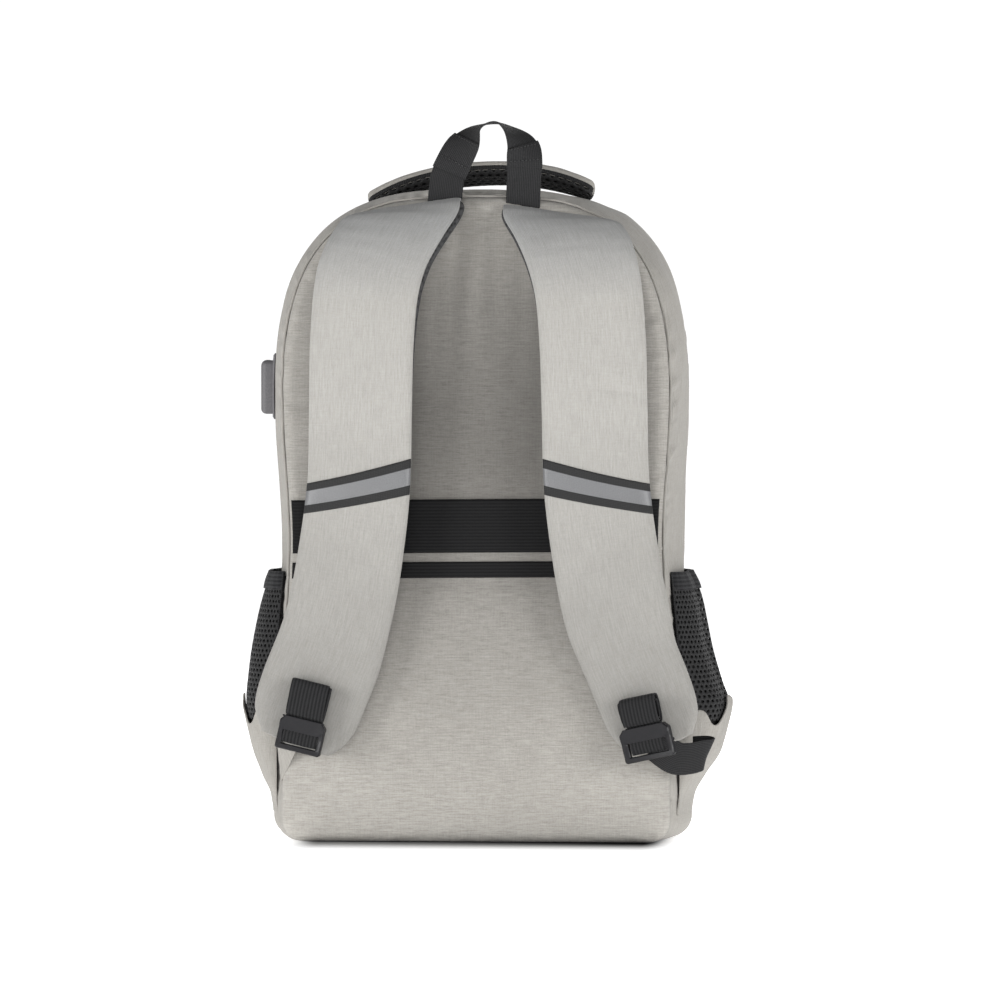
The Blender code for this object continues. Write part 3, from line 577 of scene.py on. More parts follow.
def make_materials():
    light, dark = (0.385, 0.371, 0.343), (0.222, 0.210, 0.192)
    # back panel: painted shade between the straps, darkest at their middle height, and painted light towards
    # its foot
    melange("panel_fabric", light, dark, True, 1.1, (
        (0.016, 1.32, 1.30), (0.045, 1.22, 1.16), (0.104, 1.08, 0.93), (0.162, 1.0, 0.80), (0.210, 1.0, 0.68),
        (0.260, 1.0, 0.55), (0.323, 1.0, 0.53), (0.396, 1.0, 0.72), (0.435, 1.0, 0.97)))
    # shell cloth: painted light towards its foot and at the top middle, where the handle shades the gathered
    # gusset
    melange("shell_fabric", light, dark, False, 0.95,
            ((0.030, 1.12, 1.12), (0.120, 1.0, 1.0), (0.462, 1.0, 1.0), (0.474, 1.0, 1.7)))
    # straps: painted shade at the tops, where they turn up, and towards their lower ends; above 0.425 m a
    # painted cool shade
    melange("strap_fabric", (0.410, 0.400, 0.378), (0.262, 0.254, 0.237), False, 0.80, (
        (0.138, 0.82, 0.82), (0.210, 0.92, 0.92), (0.310, 1.04, 1.04), (0.400, 1.02, 1.02),
        (0.440, 0.84, 0.84), (0.470, 0.76, 0.76)), 0.425)
    melange("cover_fabric", light, dark, True, 0.8)
    black, black_dark = (0.029, 0.029, 0.030), (0.008, 0.008, 0.0085)
    webbing("webbing", black, black_dark, False, 0.0013, 0.00025)
    webbing("grosgrain", (0.024, 0.024, 0.025), (0.006, 0.006, 0.0065), True, 0.0014, 0.0003)
    webbing("strap_webbing", (0.022, 0.022, 0.023), (0.005, 0.005, 0.0055), False, 0.0026, 0.00045)
    webbing("luggage_webbing", (0.0090, 0.0090, 0.0095), (0.0025, 0.0025, 0.0028), True, 0.0024, 0.0003,
            sheen=0.02)
    webbing("elastic", (0.026, 0.026, 0.028), (0.007, 0.007, 0.008), True, 0.0030, 0.0006)
    webbing("zip_cloth", (0.018, 0.018, 0.019), (0.006, 0.006, 0.0065), False, 0.0011, 0.0002)
    webbing("piping_cloth", (0.36, 0.346, 0.320), (0.23, 0.218, 0.200), False, 0.0012, 0.0002)

    s = Shading("mesh_strand", 0.66, Sheen_Weight=0.05, Sheen_Roughness=0.4, Specular_IOR_Level=0.3)
    fuzz = s.grain(1400.0)
    s.tones(fuzz, 0.35, 0.65, (0.005, 0.005, 0.0054), (0.017, 0.0168, 0.0175))
    s.bump(fuzz, 0.0002, 0.5)

    s = Shading("mesh_backing", 0.92)
    fuzz = s.grain(900.0)
    s.tones(fuzz, 0.35, 0.65, (0.0035, 0.0035, 0.0036), (0.008, 0.008, 0.0085))
    s.bump(fuzz, 0.0003, 0.5)

    s = Shading("spacer_mesh", 0.9)
    cells = s.put("TexVoronoi", {"Vector": s.place(), "Scale": 330.0}).outputs["Distance"]
    s.tones(cells, 0.15, 0.55, (0.006, 0.006, 0.006), (0.040, 0.040, 0.041))
    s.bump(cells, 0.0006, 0.8)

    s = Shading("satin_plastic", 0.45, Specular_IOR_Level=0.28, Coat_Weight=0.03, Coat_Roughness=0.2)
    grain = s.grain(2600.0, 2.0)
    s.tones(grain, 0.35, 0.65, (0.0055, 0.0052, 0.0066), (0.0100, 0.0096, 0.0116))
    s.roughness(s.spread(s.grain(240.0), 0.3, 0.7, 0.38, 0.52))
    s.bump(grain, 0.00005, 0.3)

    s = Shading("usb_rubber", 0.55, Specular_IOR_Level=0.45)
    grain = s.grain(1800.0, 2.0)
    s.tones(grain, 0.35, 0.65, (0.085, 0.083, 0.088), (0.125, 0.122, 0.128))
    s.bump(grain, 0.00008, 0.35)

    s = Shading("reflective_tape", 0.60, Specular_IOR_Level=0.5)
    u, v = s.uv()
    beads = s.noise(u, v, 0.0007, 0.0007, 1.0)
    weave = s.maths("MULTIPLY", s.wave(u, 0.0012), s.wave(v, 0.0012))
    tape = s.mix(weave, (0.008, 0.008, 0.008), (0.024, 0.024, 0.025))
    silver = s.mix(s.spread(beads, 0.3, 0.7), (0.122, 0.124, 0.128), (0.165, 0.167, 0.172))
    inside = s.maths("LESS_THAN", s.maths("ABSOLUTE", v), 0.0057)
    s.colour(s.mix(inside, tape, silver))
    s.roughness(s.spread(inside, 0.0, 1.0, 0.82, 0.42))
    s.bump(s.maths("MULTIPLY_ADD", inside, 0.8, s.maths("MULTIPLY", weave, 0.4)), 0.00025, 0.5)

    s = Shading("black_thread", 0.60)
    s.tones(s.grain(1500.0), 0.35, 0.65, (0.010, 0.010, 0.010), (0.040, 0.040, 0.041))
    s = Shading("lining_cloth", 0.75, Sheen_Weight=0.15)
    ripstop = s.maths("MAXIMUM", s.wave(s.uv()[0], 0.005), s.wave(s.uv()[1], 0.005))
    s.tones(ripstop, 0.90, 1.0, (0.045, 0.045, 0.050), (0.075, 0.075, 0.082))

    s = Shading("solar_cell", 0.20, Coat_Weight=1.0, Coat_Roughness=0.05, Specular_IOR_Level=0.6)
    split = s.put("SeparateXYZ", {0: s.place()})
    x, z = split.outputs[0], split.outputs[2]
    fingers = s.spread(s.wave(z, 0.0022), 0.93, 0.98)
    bars = s.spread(s.wave(s.maths("ADD", x, 0.0015 + 0.0115), 0.023), 0.975, 0.99)
    deep = s.mix(s.spread(s.grain(60.0), 0.35, 0.65), (0.006, 0.010, 0.030), (0.010, 0.018, 0.052))
    lined = s.mix(s.maths("MULTIPLY", fingers, 0.35), deep, (0.30, 0.32, 0.36))
    s.colour(s.mix(bars, lined, (0.52, 0.53, 0.56)))
    s = Shading("clear_laminate", 0.12, IOR=1.45, Alpha=0.10)
    s.colour(s.mix(s.grain(40.0), (0.55, 0.57, 0.62), (0.66, 0.68, 0.72)))
    s = Shading("steel", 0.28, Metallic=1.0)
    s.tones(s.grain(700.0), 0.3, 0.7, (0.50, 0.50, 0.52), (0.66, 0.66, 0.68))

    # floor: painted light and shade; it glows white away from the bag and darkens round the bag's foot in a
    # painted contact shadow
    s = Shading("studio_floor", 0.95, Specular_IOR_Level=0.1)
    split = s.put("SeparateXYZ", {0: s.place()})
    beside = s.maths("SUBTRACT", s.maths("ABSOLUTE", s.maths("SUBTRACT", split.outputs[0], 0.004)), 0.118)
    before = s.maths("SUBTRACT", s.maths("ABSOLUTE", s.maths("ADD", split.outputs[1], 0.010)), 0.062)
    beside = s.maths("DIVIDE", s.maths("MAXIMUM", beside, 0.0), 0.055)
    before = s.maths("DIVIDE", s.maths("MAXIMUM", before, 0.0), 0.170)
    away = s.maths("SQRT", s.maths("ADD", s.maths("MULTIPLY", beside, beside),
                                   s.maths("MULTIPLY", before, before)))
    # glow: painted light, none round the bag and full away from it
    glow = s.put("MapRange", {0: away, 1: 0.10, 2: 0.62, 3: 0.0, 4: 1.0}, interpolation_type="SMOOTHSTEP")
    # near: painted contact shadow round the bag's foot, darker towards the right
    near = s.put("MapRange", {0: away, 1: 0.05, 2: 0.36, 3: 1.0, 4: 0.0},
                 interpolation_type="SMOOTHSTEP").outputs[0]
    near = s.maths("MULTIPLY", near, s.spread(split.outputs[0], -0.10, 0.10, 0.62, 1.0))
    pale = s.mix(s.grain(6.0), (0.78, 0.78, 0.78), (0.80, 0.80, 0.80))
    s.colour(s.mix(near, pale, (0.012, 0.012, 0.012)))
    s.shader.inputs["Emission Color"].default_value = (1, 1, 1, 1)
    s.tree.links.new(glow.outputs[0], s.shader.inputs["Emission Strength"])


make_materials()


# ---------------------------------------------------------------- studio
def area_light(name, at, aim, size, watts, colour=(1.0, 1.0, 1.0)):
    data = bpy.data.lights.new(name, "AREA")
    data.shape = "RECTANGLE"
    data.size, data.size_y = size
    data.energy = watts
    data.color = colour
    light = bpy.data.objects.new(name, data)
    light.location = at
    light.rotation_euler = (Vector(aim) - Vector(at)).to_track_quat("-Z", "Y").to_euler()
    bpy.context.scene.collection.objects.link(light)


def studio():
    scene = bpy.context.scene
    scene.view_settings.view_transform = "Standard"
    scene.view_settings.look = "None"
    world = bpy.data.worlds.new("studio_world")
    scene.world = world
    world.use_nodes = True
    tree = world.node_tree
    ground = tree.nodes["Background"]
    path = tree.nodes.new("ShaderNodeLightPath")
    level = tree.nodes.new("ShaderNodeMapRange")
    level.inputs[3].default_value = WORLD_LIGHT
    level.inputs[4].default_value = 1.05
    tree.links.new(path.outputs["Is Camera Ray"], level.inputs[0])
    tree.links.new(level.outputs[0], ground.inputs["Strength"])
    ground.inputs["Color"].default_value = (1, 1, 1, 1)

    floor = bpy.data.meshes.new("floor")
    floor.from_pydata([(-40, -40, 0), (40, -40, 0), (40, 40, 0), (-40, 40, 0)], [], [(0, 1, 2, 3)])
    floor = add("floor", floor, "studio_floor")
    floor.location.z = -0.0006

    area_light("left_box", (-2.0, -1.5, 0.42), (0, -0.05, 0.27), (0.9, 1.3), LEFT_WATTS)
    area_light("right_box", (2.0, -1.4, 0.40), (0, -0.05, 0.27), (0.9, 1.3), RIGHT_WATTS)
    area_light("front_box", (-0.3, -2.8, 0.45), (0, 0, 0.25), (1.0, 1.0), FRONT_WATTS)
    area_light("back_box", (0.3, 2.4, 1.2), (0, 0, 0.25), (1.6, 1.6), BACK_WATTS)

    camera = bpy.data.cameras.new("camera")
    camera.sensor_width = 36
    camera.lens = CAMERA_LENS
    camera.clip_start = 0.05
    eye = bpy.data.objects.new("camera", camera)
    turn, lift = math.radians(CAMERA_TURN), math.radians(CAMERA_LIFT)
    away = Vector((math.sin(turn) * math.cos(lift), -math.cos(turn) * math.cos(lift), math.sin(lift)))
    eye.location = Vector(CAMERA_AIM) + away * CAMERA_REACH
    eye.rotation_euler = (-away).to_track_quat("-Z", "Y").to_euler()
    scene.collection.objects.link(eye)
    scene.camera = eye


WORLD_LIGHT = 0.20
LEFT_WATTS, RIGHT_WATTS, FRONT_WATTS, BACK_WATTS = 46.0, 42.0, 12.0, 24.0
CAMERA_TURN, CAMERA_LIFT = 4.0, 1.0  # degrees to the right and up
CAMERA_REACH, CAMERA_LENS = 4.0, 192.0
CAMERA_AIM = (0.0125, 0.0, 0.2504)
studio()


# ---------------------------------------------------------------- shell of the bag
SEAM_TUCK = 0.0012  # how far a panel's edge turns in behind its seam


def puckers(along, away, size, seed, depth, reach=0.012):
    """Short ridges square to a seam.

    along holds metres from the seam's start, or the seam's (x, z) points; away holds metres from the seam.
    """
    if along.ndim == away.ndim:
        along = laid(along, along * 0)
    spots = np.stack([along[..., 0], along[..., 1], away * 0], axis=-1)
    ridge = fractal(spots, size, 2, seed)
    patchy = 0.35 + 0.65 * ease(wander(spots, 0.055, seed + 5), -0.5, 0.6)
    return depth * ridge * patchy * np.exp(-((away / reach) ** 2))


def tucked(outline, inward, y):
    """The turned-in edge of a panel, hidden behind its seam."""
    return at_depth(outline + inward * 0.0005, y)


def filled(outline, inward, edge, count, y):
    """Rings from a panel's rolled edge in to its middle, all at one depth."""
    steps = np.linspace(0, 1, count)[1:]
    return [at_depth(outline + inward * (edge + (1 - edge) * share), y) for share in steps]


def back_panel():
    outline = panel_loop(REAR_Y, 0.0008, 640)
    inward = np.stack([0 * outline[:, 0], np.clip(outline[:, 1], 0.15, 0.33)], axis=1) - outline
    reach = np.linalg.norm(inward, axis=1, keepdims=True)
    rings = [tucked(outline, inward / reach, REAR_Y + SEAM_TUCK)]
    for a in np.linspace(0, math.pi / 2, 10):
        at = outline + inward / reach * PANEL_ROLL * (1 - math.cos(a))
        rings.append(at_depth(at, PANEL_EDGE_Y - 0.0086 * math.sin(a)))
    rings += filled(outline, inward, PANEL_ROLL / reach, 84, PANEL_FACE_Y)
    grid = np.array(rings)
    x, z = grid[..., 0], grid[..., 2]
    away = np.linalg.norm(grid[..., ::2] - outline[None], axis=2)
    banded = ease(z, 0.182, 0.194) * (1 - ease(z, 0.258, 0.272))
    crown = 0.0020 * (1 - np.exp(-away / 0.035)) * (1 - banded) + 0.0003 * banded
    lumps = 0.0007 * fractal(grid, 0.055, 2, 3) * (1 - 0.8 * banded) * ease(away, 0.004, 0.03)
    top = ease(z, 0.30, 0.42) * (1 - ease(np.abs(x), 0.030, 0.075))
    folds = 0.0019 * top * fractal(grid, (0.021, 1.0, 0.13), 2, 8)
    sagging = (1 - ease(z, 0.10, 0.19)) * ease(away, 0.002, 0.02)
    lower = 0.0012 * sagging * fractal(grid, (0.10, 1.0, 0.035), 2, 12)
    seam = np.repeat(outline[None], len(grid), axis=0)
    pull = puckers(seam, away, 0.0085, 21, 0.0014)
    grid[..., 1] -= crown + lumps + folds + lower + pull * ease(away, 0.0, 0.004)
    obj = cloth("back_panel_cover", grid, grid[..., ::2], "panel_fabric", outwards=(0, -1, 0), weld=True)
    return belongs(obj, "bag", "grey_fabric", "back_panel", "back_foam")


def wall(name, y_from, y_to, line_at, steps, bend, material, body, slot, nodes, thickness=0.0):
    """Fabric across the bag's depth. line_at(y) gives its (x, z) points; bend(grid, along) moves it out."""
    depths = np.linspace(y_from, y_to, steps)
    lines = [line_at(y) for y in depths]
    grid = np.stack([at_depth(line, y) for y, line in zip(depths, lines)], axis=1)
    middle = grid[:, steps // 2]
    along = lengths(middle)
    normals = grid_normals(grid)
    centre = np.array([0, 0, 0.24])
    if ((grid - centre) * normals).sum(axis=2).mean() < 0:
        normals = -normals
    grid = grid + normals * bend(grid, along[:, None] + 0 * grid[..., 0])[..., None]
    uv = np.stack([grid[..., 1], along[:, None] + 0 * grid[..., 0]], axis=2)
    obj = cloth(name, grid, uv, material, thickness, normals[len(grid) // 2, steps // 2])
    return belongs(obj, body, slot, *nodes)


def rear_bend(grid, along):
    x, y, z = grid[..., 0], grid[..., 1], grid[..., 2]
    from_seam, from_zip = y - REAR_Y, ZIP_Y - y
    free = ease(from_seam, 0.0, 0.010) * ease(from_zip, 0.0, 0.010)
    billow = 0.0022 * fractal(grid, (0.09, 0.05, 0.075), 2, 31) * free
    seam = puckers(along, from_seam, 0.0105, 33, 0.0024, 0.018) * ease(from_seam, 0.0, 0.003)
    zipped = puckers(along, from_zip, 0.012, 37, 0.0008, 0.010) * ease(from_zip, 0.0, 0.003)
    gathered = (1 - ease(np.abs(x), 0.018, 0.034)) * ease(z, 0.45, 0.46) * (1 - ease(from_seam, 0.035, 0.06))
    ruffle = 0.0022 * gathered * fractal(grid, (0.0085, 0.05, 1.0), 2, 39) * ease(from_seam, 0.0, 0.004)
    under_pocket = 1 - 0.7 * ease(z, 0.0, 0.2) * (1 - ease(z, 0.2, 0.215))
    under_handle = 0.0022 * ease(z, 0.462, 0.472) * (1 - ease(np.abs(y), 0.022, 0.040))
    drawn_in = 0.0030 * gathered * ease(from_seam, 0.0, 0.02)
    return billow * under_pocket + seam + zipped + ruffle - drawn_in - under_handle


def plain_bend(seed, depth, edge_from, edge_to):
    def bend(grid, along):
        rear, front = grid[..., 1] - edge_from, edge_to - grid[..., 1]
        slack = depth * fractal(grid, (0.07, 0.04, 0.07), 2, seed)
        slack = slack * ease(rear, 0.0, 0.008) * ease(front, 0.0, 0.008)
        pull = puckers(along, rear, 0.011, seed + 3, 0.0006) + puckers(along, front, 0.011, seed + 4, 0.0006)
        return slack + pull * ease(rear, 0, 0.002) * ease(front, 0, 0.002)
    return bend


def side_line(sign, z_from, z_to, count):
    def line(y):
        heights = np.linspace(z_from, z_to, count)
        return np.stack([sign * half_width(y, heights), heights], axis=1)
    return line


def shell_walls():
    wall("rear_gusset_cloth", REAR_Y + 0.0002, ZIP_Y - 0.0004, lambda y: arch_line(y, 0.0300, 760), 60,
         rear_bend, "shell_fabric", "bag", "grey_fabric", ["rear_gusset"])
    wall("base_cloth", REAR_Y + 0.0002, FRONT_Y, lambda y: base_line(y, 0.0302, 220), 80,
         plain_bend(51, 0.0009, REAR_Y, FRONT_Y), "shell_fabric", "bag", "grey_fabric", ["base_panel"])
    wall("front_gusset_cloth", ZIP_Y + 0.0146, FRONT_Y, lambda y: arch_line(y, FOLD_Z + 0.0015, 620), 26,
         plain_bend(61, 0.0012, ZIP_Y + 0.0146, FRONT_Y), "shell_fabric", "front", "grey_fabric",
         ["front_gusset"])
    for side, sign in SIDES.items():
        wall(f"lower_gusset_cloth_{side}", ZIP_Y - 0.0004, FRONT_Y,
             side_line(sign, 0.0302, FOLD_Z - 0.0006, 120), 34,
             plain_bend(71 + sign, 0.0010, ZIP_Y, FRONT_Y), "shell_fabric", "bag", "grey_fabric",
             [f"lower_gusset_{side}"])


def piping():
    outline = arch_line(REAR_Y, 0.0600, 640)
    _, out = run_and_out(outline)
    wave = 0.0005 * wander(np.stack([outline[:, 0], outline[:, 1], outline[:, 0] * 0], axis=1), 0.012, 81)
    at = outline + out * (0.0011 + wave)[:, None]
    centres = at_depth(at, PANEL_EDGE_Y)
    sides = np.stack([out[:, 0], 0 * out[:, 0], out[:, 1]], axis=1)
    fronts = same((0.0, -1.0, 0.0), len(at))
    angle = np.linspace(0, 2 * math.pi, 12, endpoint=False)
    section = np.stack([np.cos(angle), np.sin(angle)], axis=1) * 0.0009
    grid = capped(tube_grid(centres, sides, fronts, section))
    obj = cloth("seam_piping_cord", grid, metres_uv(grid), "piping_cloth", weld=True)
    belongs(obj, "bag", "grey_fabric", "seam_piping")


def front_skin(name, z_from, z_to, body, node, seed):
    """The front face's cloth, rolled at its edges, between two heights."""
    if z_to is None:
        outline = panel_loop(FRONT_Y, z_from, 560)
        centre = (0.0, 0.33)
    else:
        heights = np.concatenate([np.linspace(z_to, CORNER, 50)[:-1],
                                  CORNER - CORNER * np.sin(np.linspace(0, math.pi / 2, 30))])
        left = np.stack([-half_width(FRONT_Y, heights), heights], axis=1)
        line = np.concatenate([left, left[::-1] * (-1, 1), left[:1]])
        outline = resample(line, 480)
        centre = (0.0, 0.10)
    inward = np.array(centre) - outline
    inward[:, 0] = np.clip(outline[:, 0], -0.09, 0.09) * 0.99 - outline[:, 0]
    reach = np.linalg.norm(inward, axis=1, keepdims=True)
    rings = [tucked(outline, inward / reach, FRONT_Y - SEAM_TUCK)]
    for a in np.linspace(0, math.pi / 2, 8):
        at = outline + inward / reach * FRONT_ROLL * (1 - math.cos(a))
        rings.append(at_depth(at, FRONT_Y + 0.0005 + 0.0056 * math.sin(a)))
    rings += filled(outline, inward, FRONT_ROLL / reach, 40, FRONT_Y + FRONT_LIFT)
    grid = np.array(rings)
    away = np.linalg.norm(grid[..., ::2] - outline[None], axis=2)
    seam = np.repeat(outline[None], len(grid), axis=0)
    grid[..., 1] += 0.0004 * fractal(grid, 0.04, 2, seed) * ease(away, 0.003, 0.02)
    grid[..., 1] += puckers(seam, away, 0.009, seed + 2, 0.0006) * ease(away, 0, 0.004)
    obj = cloth(name, grid, grid[..., ::2], "panel_fabric", outwards=(0, 1, 0), weld=True)
    belongs(obj, body, "grey_fabric", node)


def flat_bands():
    """The trolley band and the narrow band below it, sewn into the side seams."""
    for name, node, bottom, top, lift, seed in (
        ("luggage_band_webbing", "luggage_band", 0.2130, 0.2522, 0.0022, 91),
        ("lower_band_webbing", "lower_band", 0.1945, 0.2063, 0.0016, 95),
    ):
        x = np.linspace(-0.1375, 0.1375, 180)
        z = np.linspace(bottom, top, 26)
        gx, gz = np.meshgrid(x, z)
        reach = half_width(REAR_Y, gz) - 0.0025
        gx = gx / 0.1375 * reach
        edge = 1 - ease(np.abs(gx), 0.1275, 0.1395)
        y = -0.0846 - lift * edge - 0.0004 * wander(flat_spots(gx, gz), (0.06, 1, 0.03), seed) * edge
        rim = ease(np.minimum(gz - bottom, top - gz), 0.0, 0.0012)
        y = y + 0.0006 * (1 - rim)
        sag = 0.0007 * np.sin(gx / 0.13 * math.pi / 2 + 0.4)
        grid = np.stack([gx, y, gz + sag], axis=-1)
        uv = laid(gx, gz)
        obj = cloth(name, grid, uv, "luggage_webbing", 0.0010, outwards=(0, -1, 0))
        belongs(obj, "bag", "black_webbing", node)


back_panel()
shell_walls()
piping()
front_skin("front_panel_cloth", FOLD_Z + 0.0015, None, "front", "front_panel", 101)
front_skin("front_lower_cloth", 0.0008, FOLD_Z - 0.0006, "bag", "front_panel_lower", 111)
flat_bands()


# ---------------------------------------------------------------- shoulder straps
STRAP_PATH = (  # right strap's middle line: x, y, z, half width
    (0.0560, -0.0850, 0.4705, 0.0410),
    (0.0562, -0.0880, 0.4692, 0.0410),
    (0.0570, -0.0925, 0.4650, 0.0408),
    (0.0650, -0.1005, 0.4535, 0.0405),
    (0.0748, -0.1080, 0.4310, 0.0395),
    (0.0812, -0.1110, 0.4050, 0.0392),
    (0.0845, -0.1105, 0.3650, 0.0390),
    (0.0857, -0.1085, 0.3150, 0.0388),
    (0.0870, -0.1065, 0.2650, 0.0388),
    (0.0922, -0.1050, 0.2200, 0.0388),
    (0.0995, -0.1030, 0.1780, 0.0388),
    (0.1090, -0.1005, 0.1430, 0.0385),
    (0.1200, -0.0985, 0.1150, 0.0385),
    (0.1270, -0.0975, 0.0960, 0.0375),
    (0.1312, -0.0968, 0.0840, 0.0335),
    (0.1352, -0.0965, 0.0735, 0.0255),
)
STRAP_SQUARE = 0.078  # length over which the strap turns square to its run
STRAP_TILT = math.radians(9)  # the inner edge stands off the back
FACE_THICK, CORE_THICK = 0.0046, 0.0062


class Strap:
    """One shoulder strap's frame. t runs from -1 at the inner edge to 1 at the outer, down from the top."""

    def __init__(self, side):
        self.side, self.sign = side, SIDES[side]
        path = resample(catmull(STRAP_PATH, 14), 420)
        self.line = path[:, :3]
        self.half = path[:, 3] * (1 - (0.02 + 0.06 * self.sign) * (1 - ease(path[:, 2], 0.13, 0.17)))
        run = unit(np.gradient(self.line, axis=0))
        self.along = lengths(self.line)
        turn = np.minimum(1, self.along / STRAP_SQUARE)[:, None]
        square = np.stack([-run[:, 2], 0 * run[:, 0], run[:, 0]], axis=1)
        across = unit((1 - turn) * np.array([1.0, 0, 0]) + turn * square)
        normal = unit(np.cross(run, across))
        tilt = STRAP_TILT * ease(self.line[:, 2], 0.16, 0.28)[:, None]
        self.across = across * np.cos(tilt) - normal * np.sin(tilt)
        self.normal = unit(np.cross(run, self.across))

    def flipped(self, vectors):
        return vectors * np.array([self.sign, 1.0, 1.0])

    def mirrored(self, points):
        """On this side of the bag. Both straps hang a little to the right of its middle."""
        made = self.flipped(points)
        made[..., 0] += 0.0035 + 0.0020 * ease(made[..., 2], 0.42, 0.46)
        made[..., 2] -= (0.0062 + 0.0025 * self.sign) * ease(made[..., 2], 0.42, 0.475)
        return made

    def face(self, row, t, lift=0.0):
        """Points on the grey face at fractional rows and t, both arrays of one shape."""
        def read(values):
            index = np.clip(row, 0, len(values) - 1.001)
            low = index.astype(int)
            part = index - low
            if values.ndim == 2:
                part = part[..., None]
            return values[low] * (1 - part) + values[low + 1] * part

        line, across, normal, half = read(self.line), read(self.across), read(self.normal), read(self.half)
        edge = np.clip(np.abs(t), 0, 1)
        height = FACE_THICK * (1 - edge**7.0) ** 0.42 + 0.0016 * (1 - edge**2)
        height = height * (0.30 + 0.70 * ease(read(self.along), 0.0, 0.016))
        spots = np.stack([t * half, 0 * t, read(self.along)], axis=-1) + np.array([0, 0.7 * self.sign, 0])
        soft = 0.0010 * fractal(spots, (0.040, 1, 0.060), 2, 120) * (1 - edge**4)
        top = 1 - ease(read(self.along), 0.05, 0.14)
        creases = 0.0004 * top * fractal(spots, (0.060, 1, 0.012), 2, 124) * (1 - edge**6)
        near_edge = np.exp(-(((1 - edge) / 0.16) ** 2)) * (1 - edge**6)
        pinch = 0.0005 * fractal(spots, (1.0, 1, 0.009), 2, 128) * near_edge
        if self.side == "right":
            slanted = read(self.along) - 0.150 - 0.12 * t * half
            bent = np.exp(-((slanted / 0.0035) ** 2)) * ease(t, -0.1, 0.2)
            creases = creases - 0.0007 * bent * (1 - ease(t, 0.7, 0.95))
        out = height + soft + creases + pinch + lift
        return self.mirrored(line + across * (t * half)[..., None] + normal * out[..., None])


def strap_face(strap):
    rows = np.arange(len(strap.line))
    t = np.sin(np.linspace(-math.pi / 2, math.pi / 2, 64))
    row, across = np.meshgrid(rows.astype(float), t, indexing="ij")
    grid = strap.face(row, across)
    reach = strap.flipped(strap.across) * strap.half[:, None]
    low = strap.mirrored(strap.line)[:, None] + reach[:, None] * (np.array([-1, 1]) * 0.992)[None, :, None]
    low = low - strap.flipped(strap.normal)[:, None] * 0.0003
    grid = np.concatenate([low[:, :1], grid, low[:, 1:]], axis=1)
    folded = strap.face(np.zeros(grid.shape[1]), np.concatenate([[-0.992], t, [0.992]]), -0.0028)
    grid = np.concatenate([folded[None], grid])
    end = grid[-1].mean(axis=0) + np.array([0.0015 * strap.sign, 0.0015, -0.003])
    shrink = [grid[-1] * (1 - k) + end * k - (grid[-1].mean(axis=0) - strap.mirrored(strap.line)[-1]) * k**2
              for k in (0.15, 0.4, 0.7, 1.0)]
    grid = np.concatenate([grid, np.array(shrink)])
    obj = cloth(f"strap_cover_{strap.side}", grid, metres_uv(grid), "strap_fabric", outwards=(0, -1, 0))
    belongs(obj, f"strap_{strap.side}", "grey_fabric", f"strap_pad_{strap.side}")


def strap_core(strap):
    """The black air-mesh underside and side walls."""
    section = flat_section(1.0, 1.0, 44, 7.0)
    around = np.concatenate([section, section[:1]])
    half = strap.half - 0.0009
    thick = CORE_THICK / 2 * (0.35 + 0.65 * ease(strap.along, 0.0, 0.03))
    shown = 0.0042 if strap.side == "left" else 0.0018  # the wall that shows beside the face at the top
    inner = shown * (1 - ease(strap.along, 0.0, 0.16)) * ease(strap.along, 0.0, 0.008)
    half, thick, inner = half[:, None, None], thick[:, None, None], inner[:, None, None]
    beside, above = around[None, :, :1], around[None, :, 1:]
    grid = (strap.line[:, None] + strap.across[:, None] * (beside * half - (beside < 0) * inner)
            + strap.normal[:, None] * (above * thick - thick + 0.0002))
    grid = capped(strap.mirrored(grid))
    obj = cloth(f"strap_mesh_{strap.side}", grid, metres_uv(grid), "spacer_mesh", weld=True)
    belongs(obj, f"strap_{strap.side}", "black_mesh", f"strap_lining_{strap.side}")


def reflective_band(strap):
    t = np.concatenate([[-1.0], np.linspace(-0.995, 0.995, 60), [1.0]])
    v = np.linspace(-0.0120, 0.0120, 16)
    tt, vv = np.meshgrid(t, v, indexing="ij")
    z = 0.2715 + (0.2490 - 0.2715) * (tt + 1) / 2 + vv
    rows = np.interp(-z, -strap.line[:, 2], np.arange(len(strap.line)))
    grid = strap.face(rows, tt, 0.0006)
    uv = laid(tt * 0.038, vv)
    obj = cloth(f"reflective_tape_{strap.side}", grid, uv, "reflective_tape", 0.0005, outwards=(0, -1, 0))
    belongs(obj, f"strap_{strap.side}", "reflective_tape", f"reflective_band_{strap.side}")


STRAPS = {side: Strap(side) for side in SIDES}
for one_strap in STRAPS.values():
    strap_face(one_strap)
    strap_core(one_strap)
    reflective_band(one_strap)


# ---------------------------------------------------------------- side pockets
POCKET_DEPTH = 0.056  # half the pocket's length along the bag's depth
POCKET_RADIUS = 0.043  # metres of cloth for each radian round a pocket
POCKET_FOOT, POCKET_HEM, POCKET_TOP = 0.0190, 0.1850, 0.1985
POCKET_BULGE = {  # how far it stands off the bag at its middle, by height
    -1: [(0.018, 0.0002), (0.033, 0.0014), (0.047, 0.0066), (0.065, 0.0142), (0.085, 0.0182), (0.101, 0.0203),
         (0.120, 0.0188), (0.138, 0.0169), (0.158, 0.0142), (0.172, 0.0119), (0.184, 0.0092), (0.198, 0.0060),
         (0.212, 0.0052)],
    1: [(0.018, 0.0002), (0.033, 0.0012), (0.047, 0.0070), (0.064, 0.0180), (0.085, 0.0240), (0.101, 0.0258),
        (0.115, 0.0212), (0.138, 0.0150), (0.160, 0.0118), (0.174, 0.0100), (0.184, 0.0078), (0.198, 0.0030),
        (0.212, 0.0022)],
}


def pocket_bulge(sign, z):
    heights, reach = catmull(POCKET_BULGE[sign], 12).T
    return np.interp(z, heights, reach)


